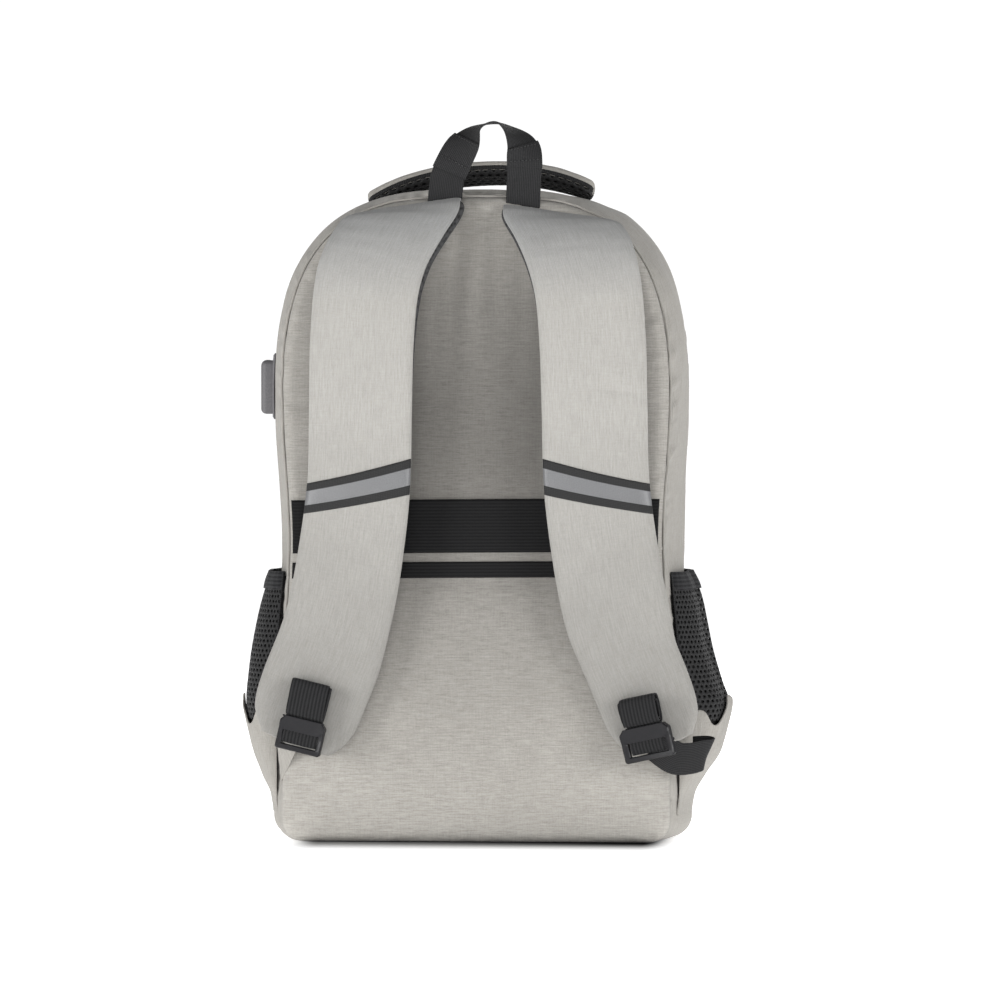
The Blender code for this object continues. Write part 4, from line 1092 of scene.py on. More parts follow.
def pocket_point(sign, a, z, lift=0.0):
    """On the pocket's skin: a runs from 0 at its rear edge to pi at its front edge."""
    y = MIDDLE_Y - POCKET_DEPTH * np.cos(a)
    arched = np.clip(np.sin(a), 0, 1)
    pleat = 0.0022 * arched * wander(flat_spots(a * POCKET_RADIUS, z), (0.012, 1, 0.16), 141 + sign)
    stand = 0.0004 + 0.0020 * ease(arched, 0.0, 0.25) * ease(z, 0.030, 0.046)
    bulge = pocket_bulge(sign, z) * arched**0.85 + pleat * ease(z, 0.035, 0.06)
    x = half_width(y, z) + stand + bulge + lift * (0.3 + 0.7 * arched)
    return np.stack([sign * x, y, z], axis=-1)


def pocket_rim(a):
    """Height of the grey base's top edge, which dips and peaks round the pocket."""
    swing = np.cos((a - 1.45) * 4.9) * ease(a, 0.20, 0.70)
    return 0.0950 + 0.0105 * swing * (1 - 0.5 * ease(a, 1.7, 2.4))


def side_pockets():
    round_metres = 0.137
    for side, sign in SIDES.items():
        net = hex_net(
            f"pocket_net_{side}",
            lambda u, v: pocket_point(sign, u / round_metres * math.pi, 0.0880 + v, -0.0012),
            round_metres, 0.1000, 0.0057, 0.0022, "mesh_strand", 0.0011, 0.86,
        )
        belongs(net, "bag", "black_mesh", f"pocket_mesh_{side}")

        a, z = over((0, math.pi, 70), (0.0700, 0.1950, 60))
        grid = pocket_point(sign, a, z, -0.0034)
        uv = laid(a * POCKET_RADIUS, z)
        belongs(cloth(f"pocket_lining_{side}", grid, uv, "mesh_backing", 0.0006, (sign, 0, 0)), "bag",
                "black_mesh")

        a, z = over((0, math.pi, 110), (POCKET_HEM, POCKET_TOP, 16))
        ruffle = 0.0007 * wander(flat_spots(a * POCKET_RADIUS, z), (0.006, 1, 0.02), 151)
        rolled = 0.0009 * np.sin((z - POCKET_HEM) / (POCKET_TOP - POCKET_HEM) * math.pi)
        grid = pocket_point(sign, a, z, 0.0006 + ruffle + rolled)
        uv = laid(a * POCKET_RADIUS, z)
        hem = cloth(f"pocket_elastic_{side}", grid, uv, "elastic", 0.0016, (sign, 0, 0))
        belongs(hem, "bag", "black_webbing", f"pocket_binding_{side}")

        a, share = over((0, math.pi, 110), (0, 1, 60))
        z = POCKET_FOOT + (pocket_rim(a) - POCKET_FOOT) * share
        flare = 0.0010 * ease(share, 0.0, 0.15) + 0.0010 * share**6
        sag = 0.0011 * np.sin(share * math.pi)
        sag = sag * fractal(flat_spots(a * POCKET_RADIUS, z), (0.020, 1, 0.05), 2, 161 + sign)
        grid = pocket_point(sign, a, z, sag + (flare + 0.0003) / (0.3 + 0.7 * np.clip(np.sin(a), 0, 1)))
        uv = laid(a * POCKET_RADIUS, z)
        cup = cloth(f"pocket_cup_{side}", grid, uv, "shell_fabric", 0.0012, (sign, 0, 0))
        belongs(cup, "bag", "grey_fabric", f"pocket_base_{side}")

        for name, shares, lift in (("rear", 0.02, 0.0010), ("front", 0.98, 0.0010)):
            z = np.linspace(0.0930, 0.1975, 90)
            grid_line = pocket_point(sign, np.full(90, shares * math.pi), z, lift)
            sides = same((0.0, 1.0, 0.0), 90)
            fronts = same((float(sign), 0.0, 0.0), 90)
            edge = band(f"pocket_edge_{name}_{side}", grid_line, sides, fronts, 0.0060, 0.0012,
                        "grosgrain" if name == "rear" else "elastic")
            belongs(edge, "bag", "black_webbing")


# ---------------------------------------------------------------- carry handle and grab loop
HANDLE_TILT = math.radians(17)
HANDLE_HALF, HANDLE_Z, HANDLE_RISE = 0.082, 0.4728, 0.0172  # half its length, its ends' height, its arch
HANDLE_SLANT = 0.0042  # how much higher its right end sits than its middle


def handle_frame(count):
    share = np.linspace(-1, 1, count)
    rise = HANDLE_RISE * (1 - np.abs(share) ** 2.2) + HANDLE_SLANT * share
    slope = -HANDLE_RISE * 2.2 * np.abs(share) ** 1.2 * np.sign(share) / HANDLE_HALF
    line = np.stack([HANDLE_HALF * share - 0.0015, 0 * share, HANDLE_Z + rise], axis=1)
    away = unit(np.stack([-slope, 0 * share, 1 + 0 * share], axis=1))
    tilt = np.array([0, math.cos(HANDLE_TILT), -math.sin(HANDLE_TILT)])
    half = 0.0165 * (1 - 0.4 * np.abs(share) ** 6)
    return share, line, away, tilt, half


def carry_handle():
    share, line, away, tilt, half = handle_frame(150)
    out = unit(away - (away @ tilt)[:, None] * tilt)
    angle = np.linspace(0, 2 * math.pi, 49)
    c, s = np.cos(angle), np.sin(angle)
    round_end = (1 - np.clip((np.abs(share) - 0.955) / 0.045, 0, 1) ** 2) ** 0.5
    across = np.sign(c) * np.abs(c) ** 0.45
    up = np.where(s > 0, 0.0074 * np.abs(s) ** 0.55, -0.0010 * np.abs(s))
    end = round_end[:, None, None]
    grid = (line[:, None] + out[:, None] * (0.0036 + up[None, :, None] * (0.5 + 0.5 * end))
            + tilt * (across[None, :, None] * half[:, None, None] * (0.45 + 0.55 * end)))
    spots = np.stack([line[:, None, 0] + 0 * angle, 0 * grid[..., 0], grid[..., 1]], axis=-1)
    grid = grid + out[:, None] * (0.0005 * fractal(spots, (0.022, 1, 0.02), 2, 171) * (s > 0))[..., None]
    grid = capped(grid)
    uv = metres_uv(grid)[..., ::-1]
    obj = cloth("handle_wrap", grid, uv, "cover_fabric", weld=True)
    belongs(obj, "carry_handle", "grey_fabric", "handle_cover")

    length, width = 0.176, 0.034
    steps = np.linspace(0, length, len(line))

    def place(u, v, lift=0.0):
        index = u / length
        at = np.stack([np.interp(index, (share + 1) / 2, line[:, k]) for k in range(3)], axis=-1)
        up_here = np.stack([np.interp(index, (share + 1) / 2, out[:, k]) for k in range(3)], axis=-1)
        wide = np.interp(index, (share + 1) / 2, half * 0.96 * (0.5 + 0.5 * round_end))
        reach = (v / width * 2 - 1)
        belly = -0.0014 * (1 - reach**4) - 0.0002 + lift
        belly = belly + 0.0030 * np.abs(reach) ** 8
        return at + tilt * (reach * wide)[..., None] + up_here * (belly + 0.0010)[..., None]

    net = hex_net("handle_net", place, length, width, 0.0066, 0.0024, "mesh_strand", 0.0010, 1.1)
    belongs(net, "carry_handle", "black_mesh", "handle_mesh_underside")
    u, v = np.meshgrid(steps, np.linspace(0, width, 24), indexing="ij")
    grid = place(u, v, 0.0016)
    backing = cloth("handle_net_backing", grid, laid(u, v), "mesh_backing", 0.0005, (0, 0, -1))
    belongs(backing, "carry_handle", "black_mesh")
    for name, v_edge in (("rear", 0.0), ("front", width)):
        rim = place(steps, np.full(len(steps), v_edge), 0.0)
        edge = band(f"handle_binding_{name}", rim + out * 0.0006, same(tilt, len(rim)), out, 0.0024, 0.0030,
                    "grosgrain", 3.0)
        belongs(edge, "carry_handle", "black_webbing")


LOOP_PATH = (  # grab loop's middle line: x, y, z, and the webbing's turn in degrees
    (-0.0292, -0.0835, 0.4630, 0),
    (-0.0285, -0.0818, 0.4740, 0),
    (-0.0270, -0.0805, 0.4880, 0),
    (-0.0215, -0.0805, 0.5010, 4),
    (-0.0145, -0.0795, 0.5140, 18),
    (-0.0050, -0.0780, 0.5275, 62),
    (0.0085, -0.0775, 0.5318, 90),
    (0.0185, -0.0780, 0.5268, 112),
    (0.0275, -0.0790, 0.5150, 150),
    (0.0302, -0.0805, 0.5020, 176),
    (0.0297, -0.0805, 0.4880, 180),
    (0.0293, -0.0818, 0.4740, 180),
    (0.0290, -0.0835, 0.4600, 180),
)


def grab_loop():
    rows = resample(catmull(LOOP_PATH, 16), 260)
    line, turn = rows[:, :3], np.radians(rows[:, 3])
    line[:, 2] = 0.4745 + (line[:, 2] - 0.4745) * 0.95
    line[:, 0] += 0.0060
    run = unit(np.gradient(line, axis=0))
    side = np.stack([-np.cos(turn), np.sin(turn), 0 * turn], axis=1)
    side = unit(side - (side * run).sum(axis=1, keepdims=True) * run)
    front = unit(np.cross(side, run))
    front = front * np.sign(-front[0, 1] + 1e-9)
    wave = 0.0006 * wander(line, 0.020, 181)
    line = line + front * wave[:, None]
    obj = band("grab_loop_webbing", line, side, front, 0.0252, 0.0015, "webbing", 5.0)
    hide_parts("grab_loop")
    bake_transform(obj)
    for name, low, high in (("left", 0.4905, 0.5165), ("right", 0.4905, 0.5120)):
        half = slice(0, 118) if name == "left" else slice(146, 260)
        zs = line[half, 2]
        chosen = np.where((zs > low) & (zs < high))[0]
        lift = 0.0016 if front[half][chosen][:, 1].mean() < 0 else -0.0016
        part = line[half][chosen] + front[half][chosen] * lift
        patch = band(f"grab_loop_overlap_{name}", part, side[half][chosen], front[half][chosen], 0.0262,
                     0.0014, "webbing", 5.0)
        belongs(patch, "grab_loop", "black_webbing")
        face = part + np.array([0, -0.0009, 0])
        for row, at in (("low", 5), ("high", -6)):
            reach = np.linspace(-0.0110, 0.0110, 20)[:, None]
            seam = face[at] + side[half][chosen][at] * reach
            thread = stitches(f"grab_loop_stitch_{name}_{row}", seam, same((0.0, -1.0, 0.0), 20),
                              "black_thread", 0.0026, 0.0020)
            belongs(thread, "grab_loop", "black_webbing")


# ---------------------------------------------------------------- buckles, rolls and lower webbing
BUCKLE_AT = {"left": (-0.1258, -0.1110, 0.0800), "right": (0.1280, -0.1120, 0.0760)}
BUCKLE_SIZE = {"left": 0.90, "right": 1.02}
BUCKLE_LEAN = math.radians(13)
BUCKLE_TURN = {"left": math.radians(6), "right": math.radians(17)}


def buckle_frame(side, sign):
    """The buckle's middle, and its across, up and out directions as it leans and turns."""
    c, s = math.cos(BUCKLE_LEAN), math.sin(BUCKLE_LEAN)
    turn = BUCKLE_TURN[side]
    up = np.array([-sign * s, 0.0, c])
    across = np.array([c * math.cos(turn), -math.sin(turn), sign * s * math.cos(turn)])
    return np.array(BUCKLE_AT[side]), across, up, np.cross(up, across) * -1


def outline_ring(corners, count=96):
    line = np.array(corners + corners[:1], float)
    return resample(line, count + 1)[:-1]


def buckle(side, sign):
    at, across, up, front = buckle_frame(side, sign)
    outer = outline_ring([(-0.0190, -0.0115), (-0.0190, 0.0085), (-0.0155, 0.0122), (0.0155, 0.0122),
                          (0.0190, 0.0085), (0.0190, -0.0115), (0.0174, -0.0127), (-0.0174, -0.0127)], 160)
    angles = np.arctan2(outer[:, 1] + 0.0022, outer[:, 0])
    window = outline_ring([(-0.0146, -0.0086), (-0.0146, 0.0016), (0.0146, 0.0016), (0.0146, -0.0086)], 400)
    window_angles = np.arctan2(window[:, 1] + 0.0030, window[:, 0])
    inner = np.array([window[np.argmin(np.abs(np.angle(np.exp(1j * (window_angles - a)))))] for a in angles])
    made = bmesh.new()
    rings = []
    for ring, out in ((outer, -0.0024), (outer, 0.0020), (outer * 0.955, 0.0029), (inner * 1.06, 0.0025),
                      (inner, 0.0016), (inner, -0.0024)):
        swell = 0.0010 * ease(ring[:, 1], 0.0015, 0.0060) * (out > 0)
        dip = np.cos(np.clip(ring[:, 0] / 0.0176, -1, 1) * math.pi / 2) * (ring[:, 1] < -0.0020)
        hollow = -0.0008 * dip * (out > 0)
        flat = across * ring[:, :1] * BUCKLE_SIZE[side] + up * ring[:, 1:]
        points = at + flat + front * (out + swell + hollow)[:, None]
        rings.append([made.verts.new(p) for p in points])
    joined(made, rings + rings[:1])
    bmesh.ops.recalc_face_normals(made, faces=made.faces)
    obj = finished(made, f"ladder_lock_{side}", "satin_plastic", 38)
    belongs(obj, f"buckle_{side}", "black_plastic", f"buckle_{side}")

    lip = np.linspace(-0.0158, 0.0158, 40)
    line = at + across * lip[:, None] + up * 0.0117 + front * 0.0032
    rim = band(f"ladder_lock_lip_{side}", line, same(up, 40), same(front, 40), 0.0013, 0.0013,
               "satin_plastic", 2.0)
    belongs(rim, f"buckle_{side}", "black_plastic")

    bend = np.linspace(0, 1, 30)
    drop = 0.0046 - 0.0118 * bend
    out = 0.0004 + 0.0016 * np.sin(bend * math.pi) ** 0.8
    line = at + up * drop[:, None] + front * out[:, None]
    run = unit(np.gradient(line, axis=0))
    sides = same(across, 30)
    obj = band(f"webbing_tongue_{side}", line, sides, unit(np.cross(sides, run)), 0.0262, 0.0014,
               "strap_webbing", 5.0)
    belongs(obj, f"buckle_{side}", "black_webbing", f"webbing_turn_{side}")


def webbing_roll(side, sign):
    """The spare webbing folded flat over and over above the buckle, in layers that show at its ends."""
    at, across, up, front = buckle_frame(side, sign)
    turns = 2.6 if sign > 0 else 2.1
    angle = np.linspace(0, turns * 2 * math.pi, 240)
    share = angle / angle[-1]
    tall = (0.0112 - 0.0052 * share) if sign > 0 else (0.0140 - 0.0030 * share)
    deep = (0.0058 - 0.0044 * share) if sign > 0 else (0.0044 - 0.0036 * share)
    c, s = np.cos(angle - math.pi / 2), np.sin(angle - math.pi / 2)
    square = (np.abs(c) ** 3.2 + np.abs(s) ** 3.2) ** (-1 / 3.2)
    rise, out = s * square * tall, -c * square * deep
    centre = at + up * (0.0235 if sign > 0 else 0.0262) + front * (0.0018 if sign > 0 else 0.0010)
    skew = across * (0.0010 * sign * np.sin(angle * 0.5))[:, None]
    spiral = centre + up * rise[:, None] + front * out[:, None] + skew
    tail_share = np.linspace(0, 1, 30)[:-1]
    tail_from = at + up * 0.0030 + front * 0.0006
    tail = tail_from * (1 - tail_share[:, None]) + spiral[0] * tail_share[:, None]
    line = resample(np.concatenate([tail, spiral]), 300)
    run = unit(np.gradient(line, axis=0))
    sides = same(across, len(line))
    obj = band(f"webbing_folds_{side}", line, sides, unit(np.cross(sides, run)), 0.0280, 0.0015,
               "strap_webbing", 5.0)
    belongs(obj, f"strap_{side}", "black_webbing", f"webbing_roll_{side}")
    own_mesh(obj)


def lower_webbing(side, sign):
    lift = 0.0 if sign > 0 else 0.0215
    reach = 1.0 if sign > 0 else 0.0
    path = np.array([
        (0.1500 + 0.010 * reach, -0.0740, 0.0660),
        (0.1520 + 0.018 * reach, -0.0800, 0.0670),
        (0.1500 + 0.019 * reach, -0.0860, 0.0655),
        (0.1440 + 0.014 * reach, -0.0925, 0.0630),
        (0.1380 + 0.009 * reach, -0.0920 - 0.0055 * reach, 0.0640),
        (0.1300 + 0.004 * reach, -0.0930 - 0.0120 * reach, 0.0740),
    ])
    path[:, 2] += lift
    path = resample(catmull(path, 10), 60)
    line = path[:, :3] * (sign, 1, 1)
    run = unit(np.gradient(line, axis=0))
    share = np.linspace(0, 1, 60)[:, None]
    wide = unit(np.array([sign * 0.30, 0, 0.95]) * (1 - share) + np.array([sign * 0.75, 0.05, 0.66]) * share)
    wide = unit(wide - (wide * run).sum(axis=1, keepdims=True) * run)
    obj = band(f"lower_strap_{side}", line, wide, unit(np.cross(run, wide)), 0.0245, 0.0015, "webbing", 5.0)
    belongs(obj, "bag", "black_webbing", f"lower_webbing_{side}")


def lower_wing():
    """The folded grey tab that joins the left strap's end to the side seam."""
    s, t = over((0, 1, 40), (0, 1, 40))
    across, down = s[..., None], t[..., None]
    seam = np.array([-0.1495, -0.0745, 0.0900]) * (1 - down) + np.array([-0.1440, -0.0778, 0.0440]) * down
    end = np.array([-0.1440, -0.0945, 0.0900]) * (1 - down) + np.array([-0.1265, -0.0945, 0.0765]) * down
    grid = seam * (1 - across) + end * across
    creased = 0.0007 * fractal(grid, (0.012, 1, 0.02), 2, 191)
    grid[..., 1] -= (0.0030 * (1 - 0.5 * t) + creased) * np.sin(s * math.pi)
    obj = cloth("lower_wing_left", grid, laid(s * 0.03, t * 0.046), "shell_fabric", 0.0011, (0, -1, 0))
    belongs(obj, "bag", "grey_fabric")


# ---------------------------------------------------------------- USB port
def usb_port():
    low, high = box_of("usb_housing")
    middle, half = (low + high) / 2, (high - low) / 2
    made = bmesh.new()
    bmesh.ops.create_cube(made, size=2.0)
    for vertex in made.verts:
        vertex.co = middle + np.array(vertex.co) * half
    outer = [e for e in made.edges if all(v.co.x < middle[0] for v in e.verts)]
    top = [e for e in made.edges if all(v.co.z > middle[2] for v in e.verts)]
    bmesh.ops.bevel(made, geom=list(set(outer + top)), offset=0.0046, segments=7, affect="EDGES", profile=0.5)
    hood = finished(made, "usb_hood", "usb_rubber")
    cutter = bpy.data.meshes.new("usb_mouth")
    cube = bmesh.new()
    bmesh.ops.create_cube(cube, size=1.0)
    for vertex in cube.verts:
        vertex.co = np.array([middle[0], middle[1], low[2]]) + np.array(vertex.co) * (0.0068, 0.0140, 0.0330)
    cube.to_mesh(cutter)
    cube.free()
    cutter = bpy.data.objects.new("usb_mouth", cutter)
    bpy.context.scene.collection.objects.link(cutter)
    cut = hood.modifiers.new("mouth", "BOOLEAN")
    cut.object = cutter
    bpy.context.view_layer.update()
    graph = bpy.context.evaluated_depsgraph_get()
    final = bpy.data.meshes.new_from_object(hood.evaluated_get(graph))
    hood.modifiers.clear()
    hood.data = final
    bpy.data.objects.remove(cutter)
    smooth_shade(hood, 35)
    belongs(hood, "bag", "black_plastic", "usb_housing")
    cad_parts["usb_socket"].data.materials[0] = MATERIALS["steel"]

    y, z = over((low[1] - 0.005, high[1] + 0.005, 26), (low[2] - 0.004, high[2] + 0.005, 30))
    wall_x = -half_width(y, z) - 0.0010
    corner = np.minimum(np.minimum(y - y.min(), y.max() - y), np.minimum(z - z.min(), z.max() - z))
    grid = np.stack([wall_x - 0.0012 * ease(corner, 0, 0.0015), y, z], axis=-1)
    base = cloth("usb_patch", grid, laid(y, z), "usb_rubber", 0.0010, (-1, 0, 0))
    belongs(base, "bag", "black_plastic")


side_pockets()
carry_handle()
grab_loop()
for side_name, side_sign in SIDES.items():
    buckle(side_name, side_sign)
    webbing_roll(side_name, side_sign)
    lower_webbing(side_name, side_sign)
lower_wing()
usb_port()


# ---------------------------------------------------------------- main zip
COIL_FROM = ZIP_Y + ZIP_TAPE + 0.0003
COIL_TO = COIL_FROM + ZIP_COIL


def flat_bend(grid, _along):
    return 0.0003 * wander(grid, 0.02, 201)


def main_zip():
    def line(y):
        return arch_line(y, FOLD_Z + 0.0015, 620)

    wall("zip_tape_rear_cloth", ZIP_Y - 0.0006, COIL_FROM + 0.0012, line, 8, flat_bend,
         "zip_cloth", "bag", "black_webbing", ["zip_tape_rear"])
    wall("zip_tape_front_cloth", COIL_TO - 0.0012, COIL_TO + 0.0003 + ZIP_TAPE + 0.0010, line, 8, flat_bend,
         "zip_cloth", "front", "black_webbing", ["zip_tape_front"])
    middle = (COIL_FROM + COIL_TO) / 2
    outline = arch_line(middle, FOLD_Z + 0.0030, 430)
    run, out = run_and_out(outline)
    made = bmesh.new()
    for spot, ahead, away in zip(outline, run, out):
        for half in (-1, 1):
            corners = []
            for a, d, h in ((-1, 0, 0), (1, 0, 0), (1, 1, 0), (-1, 1, 0), (-0.7, 0.1, 1), (0.7, 0.1, 1),
                            (0.7, 0.9, 1), (-0.7, 0.9, 1)):
                shift = ahead * (a * 0.00052 + half * 0.0004)
                rise = away * (0.0002 + h * 0.0011)
                x, z = spot + shift + rise
                corners.append(made.verts.new((x, middle + half * (d * 0.0015 - 0.0002), z)))
            a, b, c, d, e, f, g, h = corners
            for face in ((a, b, c, d), (h, g, f, e), (a, e, f, b), (b, f, g, c), (c, g, h, d), (d, h, e, a)):
                made.faces.new(face)
    bmesh.ops.recalc_face_normals(made, faces=made.faces)
    teeth = finished(made, "zip_teeth", "satin_plastic", 30)
    belongs(teeth, "bag", "black_plastic", "zip_coil")


def bevelled_box(name, low, high, material, radius, segments=4):
    middle, half = (np.array(low) + np.array(high)) / 2, (np.array(high) - np.array(low)) / 2
    made = bmesh.new()
    bmesh.ops.create_cube(made, size=2.0)
    for vertex in made.verts:
        vertex.co = middle + np.array(vertex.co) * half
    bmesh.ops.bevel(made, geom=list(made.edges), offset=radius, segments=segments, affect="EDGES",
                    profile=0.5)
    return finished(made, name, material, 40)


def slider(name, at, along, out, body, node):
    """A zip slider's body with its shield shape and the bridge that its pull hangs from."""
    side = np.cross(along, out)
    outline = [(-0.0046, 0.0022), (-0.0030, 0.0036), (0.0010, 0.0035), (0.0046, 0.0024)]
    made = bmesh.new()
    rings = []
    for height, scale in ((-0.0013, 0.94), (-0.0009, 1.0), (0.0006, 1.0), (0.0012, 0.90)):
        points = [(a * scale, b * scale) for a, b in outline]
        points += [(a, -b) for a, b in points[::-1]]
        rings.append([made.verts.new(at + along * a + side * b + out * height) for a, b in points])
    joined(made, rings)
    made.faces.new(rings[0])
    made.faces.new(rings[-1][::-1])
    bmesh.ops.recalc_face_normals(made, faces=made.faces)
    obj = finished(made, name, "satin_plastic", 40)
    belongs(obj, body, "black_plastic", node)
    share = np.linspace(0, math.pi, 24)
    line = at + along * (0.0030 * np.cos(share))[:, None] + out * (0.0010 + 0.0012 * np.sin(share))[:, None]
    run = unit(np.gradient(line, axis=0))
    sides = same(side, 24)
    bridge = band(f"{name}_bridge", line, sides, unit(np.cross(sides, run)), 0.0018, 0.0007, "satin_plastic",
                  3.0)
    belongs(bridge, body, "black_plastic")


def pull(name, top, down, out, side, length, body, node):
    """A ribbed tape pull with a stitched end, hanging from its slider."""
    share = np.linspace(0, 1, 70)
    line = top + down * (share * length)[:, None] + out * (0.0003 * np.sin(share * math.pi))[:, None]
    width = 0.0047 * (0.55 + 0.45 * ease(share, 0.02, 0.20))
    section = flat_section(0.5, 0.0007, 28, 5.0)
    around = np.concatenate([section, section[:1]])
    grid = line[:, None] + side * (around[None, :, :1] * width[:, None, None]) + out * around[None, :, 1:]
    ribbed = ease(share, 0.30, 0.36) * (1 - ease(share, 0.86, 0.92))
    notch = 0.0002 * np.sin(share * length / 0.0016 * 2 * math.pi) * ribbed
    grid = grid + out * (np.sign(around[None, :, 1:]) * notch[:, None, None])
    grid = capped(grid)
    obj = cloth(name, grid, metres_uv(grid), "zip_cloth", weld=True)
    belongs(obj, body, "black_webbing", node)


def zip_pulls():
    for which in ("upper", "lower"):
        low, high = box_of(f"main_{which}_slider")
        middle = (low + high) / 2
        below, above = (half_width(middle[1], middle[2] + step) for step in (-0.004, 0.004))
        slope = float(below - above) / 0.008
        along = unit(np.array([slope, 0.0, 1.0]))
        out = unit(np.array([-1.0, 0.0, slope]))
        slider(f"zip_slider_{which}", middle, along if which == "upper" else -along, out,
               f"main_slider_{which}", f"main_{which}_slider")
        low, high = box_of(f"main_{which}_pull")
        spot = (low + high) / 2
        pull(f"zip_pull_{which}", spot + along * 0.0148, -along, out, np.array([0.0, 1.0, 0.0]), 0.0296,
             f"main_pull_{which}", f"main_{which}_pull")
    low, high = box_of("pocket_slider")
    along, out = np.array([[-1.0, 0, 0], [0, 0, 1]])
    slider("pocket_zip_slider", (low + high) / 2, along, out, "pocket_slider", "pocket_slider")
    low, high = box_of("pocket_pull")
    spot = (low + high) / 2
    top, down, out, side = np.array([[spot[0], low[1] + 0.0002, spot[2]], [0, 1, 0], [0, 0, 1], [1, 0, 0]])
    pull("pocket_zip_pull", top, down, out, side, 0.0266, "pocket_pull", "pocket_pull")


# ---------------------------------------------------------------- solar panel
def frame_line(half, low, high, radius, count):
    """A closed rounded rectangle of (x, z) points, first point repeated."""
    points = []
    for cx, cz, start in ((half, high, 0), (-half, high, 90), (-half, low, 180), (half, low, 270)):
        centre = (cx - math.copysign(radius, cx), cz - (radius if cz == high else -radius))
        for step in range(9):
            angle = math.radians(start + step * 90 / 8)
            points.append((centre[0] + radius * math.cos(angle), centre[1] + radius * math.sin(angle)))
    return resample(np.array(points + points[:1]), count)


def solar_panel():
    low, high = box_of("solar_border")
    back, face = float(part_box("solar_backing")[0].y), float(high[1])
    rings = []
    for inset, y in ((0.0, back), (0.0, face - 0.0011), (0.0008, face - 0.0003), (0.0030, face),
                     (0.0085, face), (0.0098, face - 0.0006), (0.0099, face - 0.0024)):
        line = frame_line(high[0] - inset, low[2] + inset, high[2] - inset, max(0.0015, 0.006 - inset * 0.4),
                          400)
        rings.append(at_depth(line, y))
    grid = np.array(rings)
    grid[..., 1] += 0.0002 * wander(grid, (0.02, 1, 0.02), 231)
    along = np.linspace(0, 0.72, 400)[None] + 0 * grid[..., 0]
    across = np.linspace(0, 0.012, len(rings))[:, None] + 0 * grid[..., 0]
    obj = cloth("solar_edge_tape", grid, laid(across, along), "grosgrain", outwards=(0, 1, 0), weld=True)
    belongs(obj, "front", "black_webbing", "solar_border")
    for inset in (0.0022, 0.0078):
        line = frame_line(high[0] - inset, low[2] + inset, high[2] - inset, 0.005, 400)
        spots = at_depth(line, face + 0.0001)
        thread = stitches(f"solar_stitch_{round(inset * 10000)}", spots, same((0.0, 1.0, 0.0), 400),
                          "black_thread", 0.0036, 0.0027)
        belongs(thread, "front", "black_webbing")
    sheet_low, sheet_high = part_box("solar_backing")
    plate = bevelled_box("solar_back_sheet", sheet_low, sheet_high, "lining_cloth", 0.0006, 2)
    belongs(plate, "front", "lining", "solar_backing")
    for number in range(1, 7):
        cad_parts[f"solar_cell_{number}"].data.materials[0] = MATERIALS["solar_cell"]
    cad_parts["solar_film"].data.materials[0] = MATERIALS["clear_laminate"]
    low, high = box_of("charge_controller")
    case = bevelled_box("controller_case", low, high, "satin_plastic", 0.0028, 5)
    belongs(case, "front", "black_plastic", "charge_controller")
    rib = bevelled_box("controller_label_rim", (low[0] + 0.006, low[1] - 0.0006, low[2] + 0.008),
                       (high[0] - 0.006, low[1] + 0.001, high[2] - 0.008), "usb_rubber", 0.0005, 2)
    belongs(rib, "front", "black_plastic")


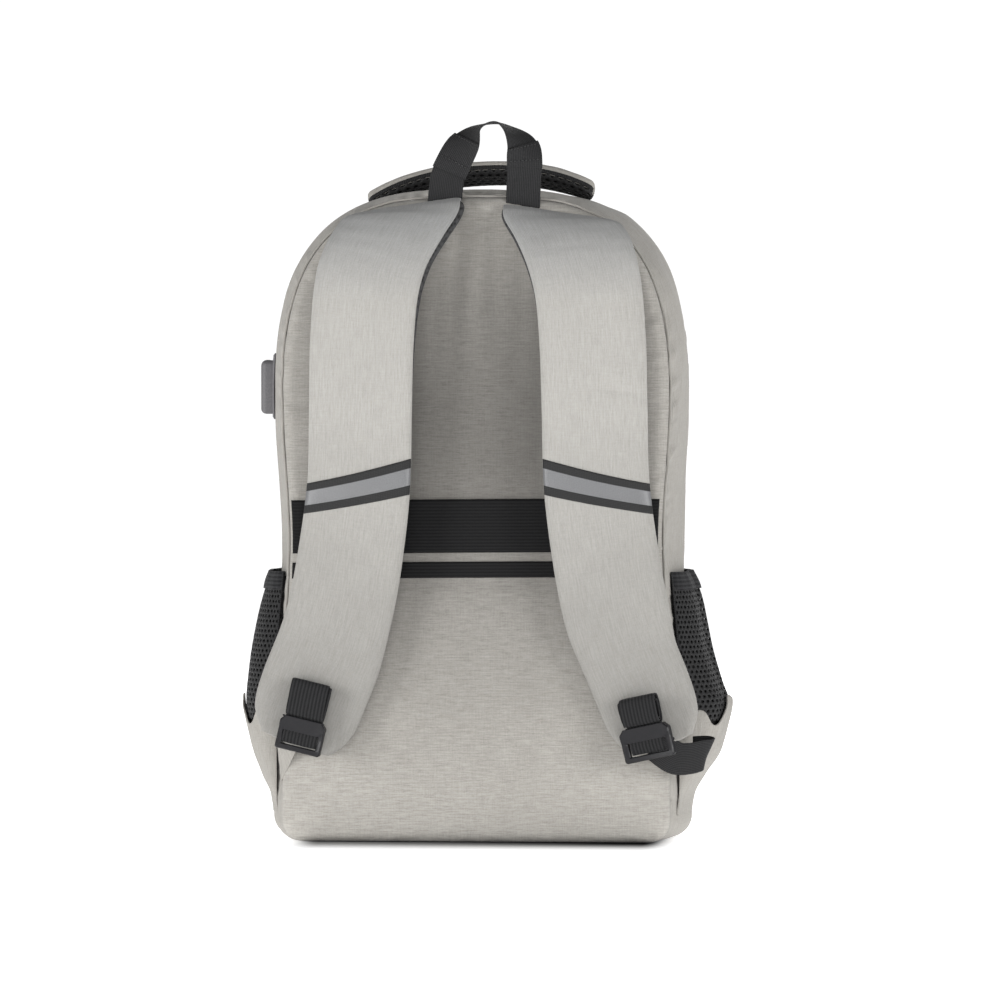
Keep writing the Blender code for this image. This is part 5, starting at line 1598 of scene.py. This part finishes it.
# ---------------------------------------------------------------- front pocket
def front_pocket():
    low, high = box_of("front_pocket")
    foot, lip = FRONT_FACE_Y + 0.0003, float(high[1])
    rings = []
    for share in np.linspace(0, math.pi / 2, 14):
        inset = 0.0105 * (1 - math.cos(share))
        out = (lip - foot - 0.0025) * math.sin(share) ** 0.8
        line = frame_line(high[0] - inset, low[2] + inset, high[2] - inset * 0.8, 0.020 - inset * 0.6, 520)
        rings.append(at_depth(line, foot + out))
    last = rings[-1]
    centre = np.stack([np.clip(last[:, 0], -0.08, 0.08), last[:, 1],
                       np.full(len(last), (low[2] + high[2]) / 2)], axis=1)
    for share in np.linspace(0, 1, 34)[1:]:
        rings.append(last * (1 - share) + centre * share)
    grid = np.array(rings)
    away = np.linalg.norm(grid[..., ::2] - grid[0][None, :, ::2], axis=-1)
    full = ease(away, 0.008, 0.07)
    grid[..., 1] += 0.0022 * full + 0.0007 * fractal(grid, (0.06, 1, 0.045), 2, 241) * full
    seam = np.repeat(grid[0][None, :, ::2], len(grid), axis=0)
    grid[..., 1] += puckers(seam, away, 0.010, 245, 0.0007) * ease(away, 0.001, 0.006)
    obj = cloth("front_pocket_cover", grid, grid[..., ::2], "panel_fabric", outwards=(0, 1, 0), weld=True)
    belongs(obj, "bag", "grey_fabric", "front_pocket")

    zip_low, zip_high = box_of("pocket_zip")
    x = np.linspace(zip_low[0] - 0.004, zip_high[0] + 0.004, 160)
    y = np.linspace(zip_low[1] - 0.0010, zip_high[1] + 0.0010, 10)
    gx, gy = np.meshgrid(x, y, indexing="ij")
    top = float(high[2])
    grid = np.stack([gx, gy, np.full_like(gx, top + 0.0003) - 0.0006 * ease(np.abs(gx), 0.09, 0.105)],
                    axis=-1)
    tape = cloth("pocket_zip_tape", grid, laid(gy, gx), "zip_cloth", 0.0008, (0, 0, 1))
    belongs(tape, "bag", "black_webbing", "pocket_zip")
    made = bmesh.new()
    for x in np.arange(zip_low[0] + 0.001, zip_high[0] - 0.001, 0.0018):
        for half in (-1, 1):
            bar = bmesh.ops.create_cube(made, size=1.0)["verts"]
            for vertex in bar:
                spot = np.array(vertex.co) * (0.0009, 0.0016, 0.0009)
                vertex.co = spot + np.array([x + half * 0.00045,
                                             (zip_low[1] + zip_high[1]) / 2 + half * 0.0007, top + 0.0007])
    belongs(finished(made, "pocket_zip_teeth", "satin_plastic"), "bag", "black_plastic")


# ---------------------------------------------------------------- inside
def inside():
    low, high = box_of("laptop_sleeve")
    x, z = over((low[0], high[0], 90), (low[2], high[2], 90))
    rim = np.minimum(np.minimum(x - low[0], high[0] - x), np.minimum(z - low[2], high[2] - z))
    lumps = 0.0004 * fractal(flat_spots(x, z), 0.05, 2, 251) * ease(rim, 0, 0.02)
    puff = 0.0006 * (1 - np.exp(-rim / 0.008)) + lumps
    grid = np.stack([x, low[1] + 0.0034 + puff, z], axis=-1)
    sleeve = cloth("sleeve_cushion", grid, laid(x, z), "lining_cloth", 0.0034, (0, 1, 0))
    belongs(sleeve, "bag", "lining", "laptop_sleeve")
    top = np.stack([np.linspace(low[0], high[0], 60), np.full(60, (low[1] + high[1]) / 2),
                    np.full(60, high[2])], axis=1)
    edge = band("sleeve_binding", top, same((0.0, 0.0, 1.0), 60), same((0.0, 1.0, 0.0), 60), 0.0090, 0.0052,
                "grosgrain", 3.0)
    belongs(edge, "bag", "black_webbing")
    low, high = box_of("sleeve_strap")
    z = np.linspace(low[2], high[2], 30)
    line = np.stack([0 * z, (low[1] + high[1]) / 2 + 0.0004 * np.sin(z * 300), z], axis=1)
    tab = band("sleeve_tab", line, same((1.0, 0, 0), 30), same((0.0, 1.0, 0.0), 30), 0.038, 0.0022, "webbing")
    belongs(tab, "bag", "black_webbing", "sleeve_strap")


main_zip()
zip_pulls()
solar_panel()
front_pocket()
inside()
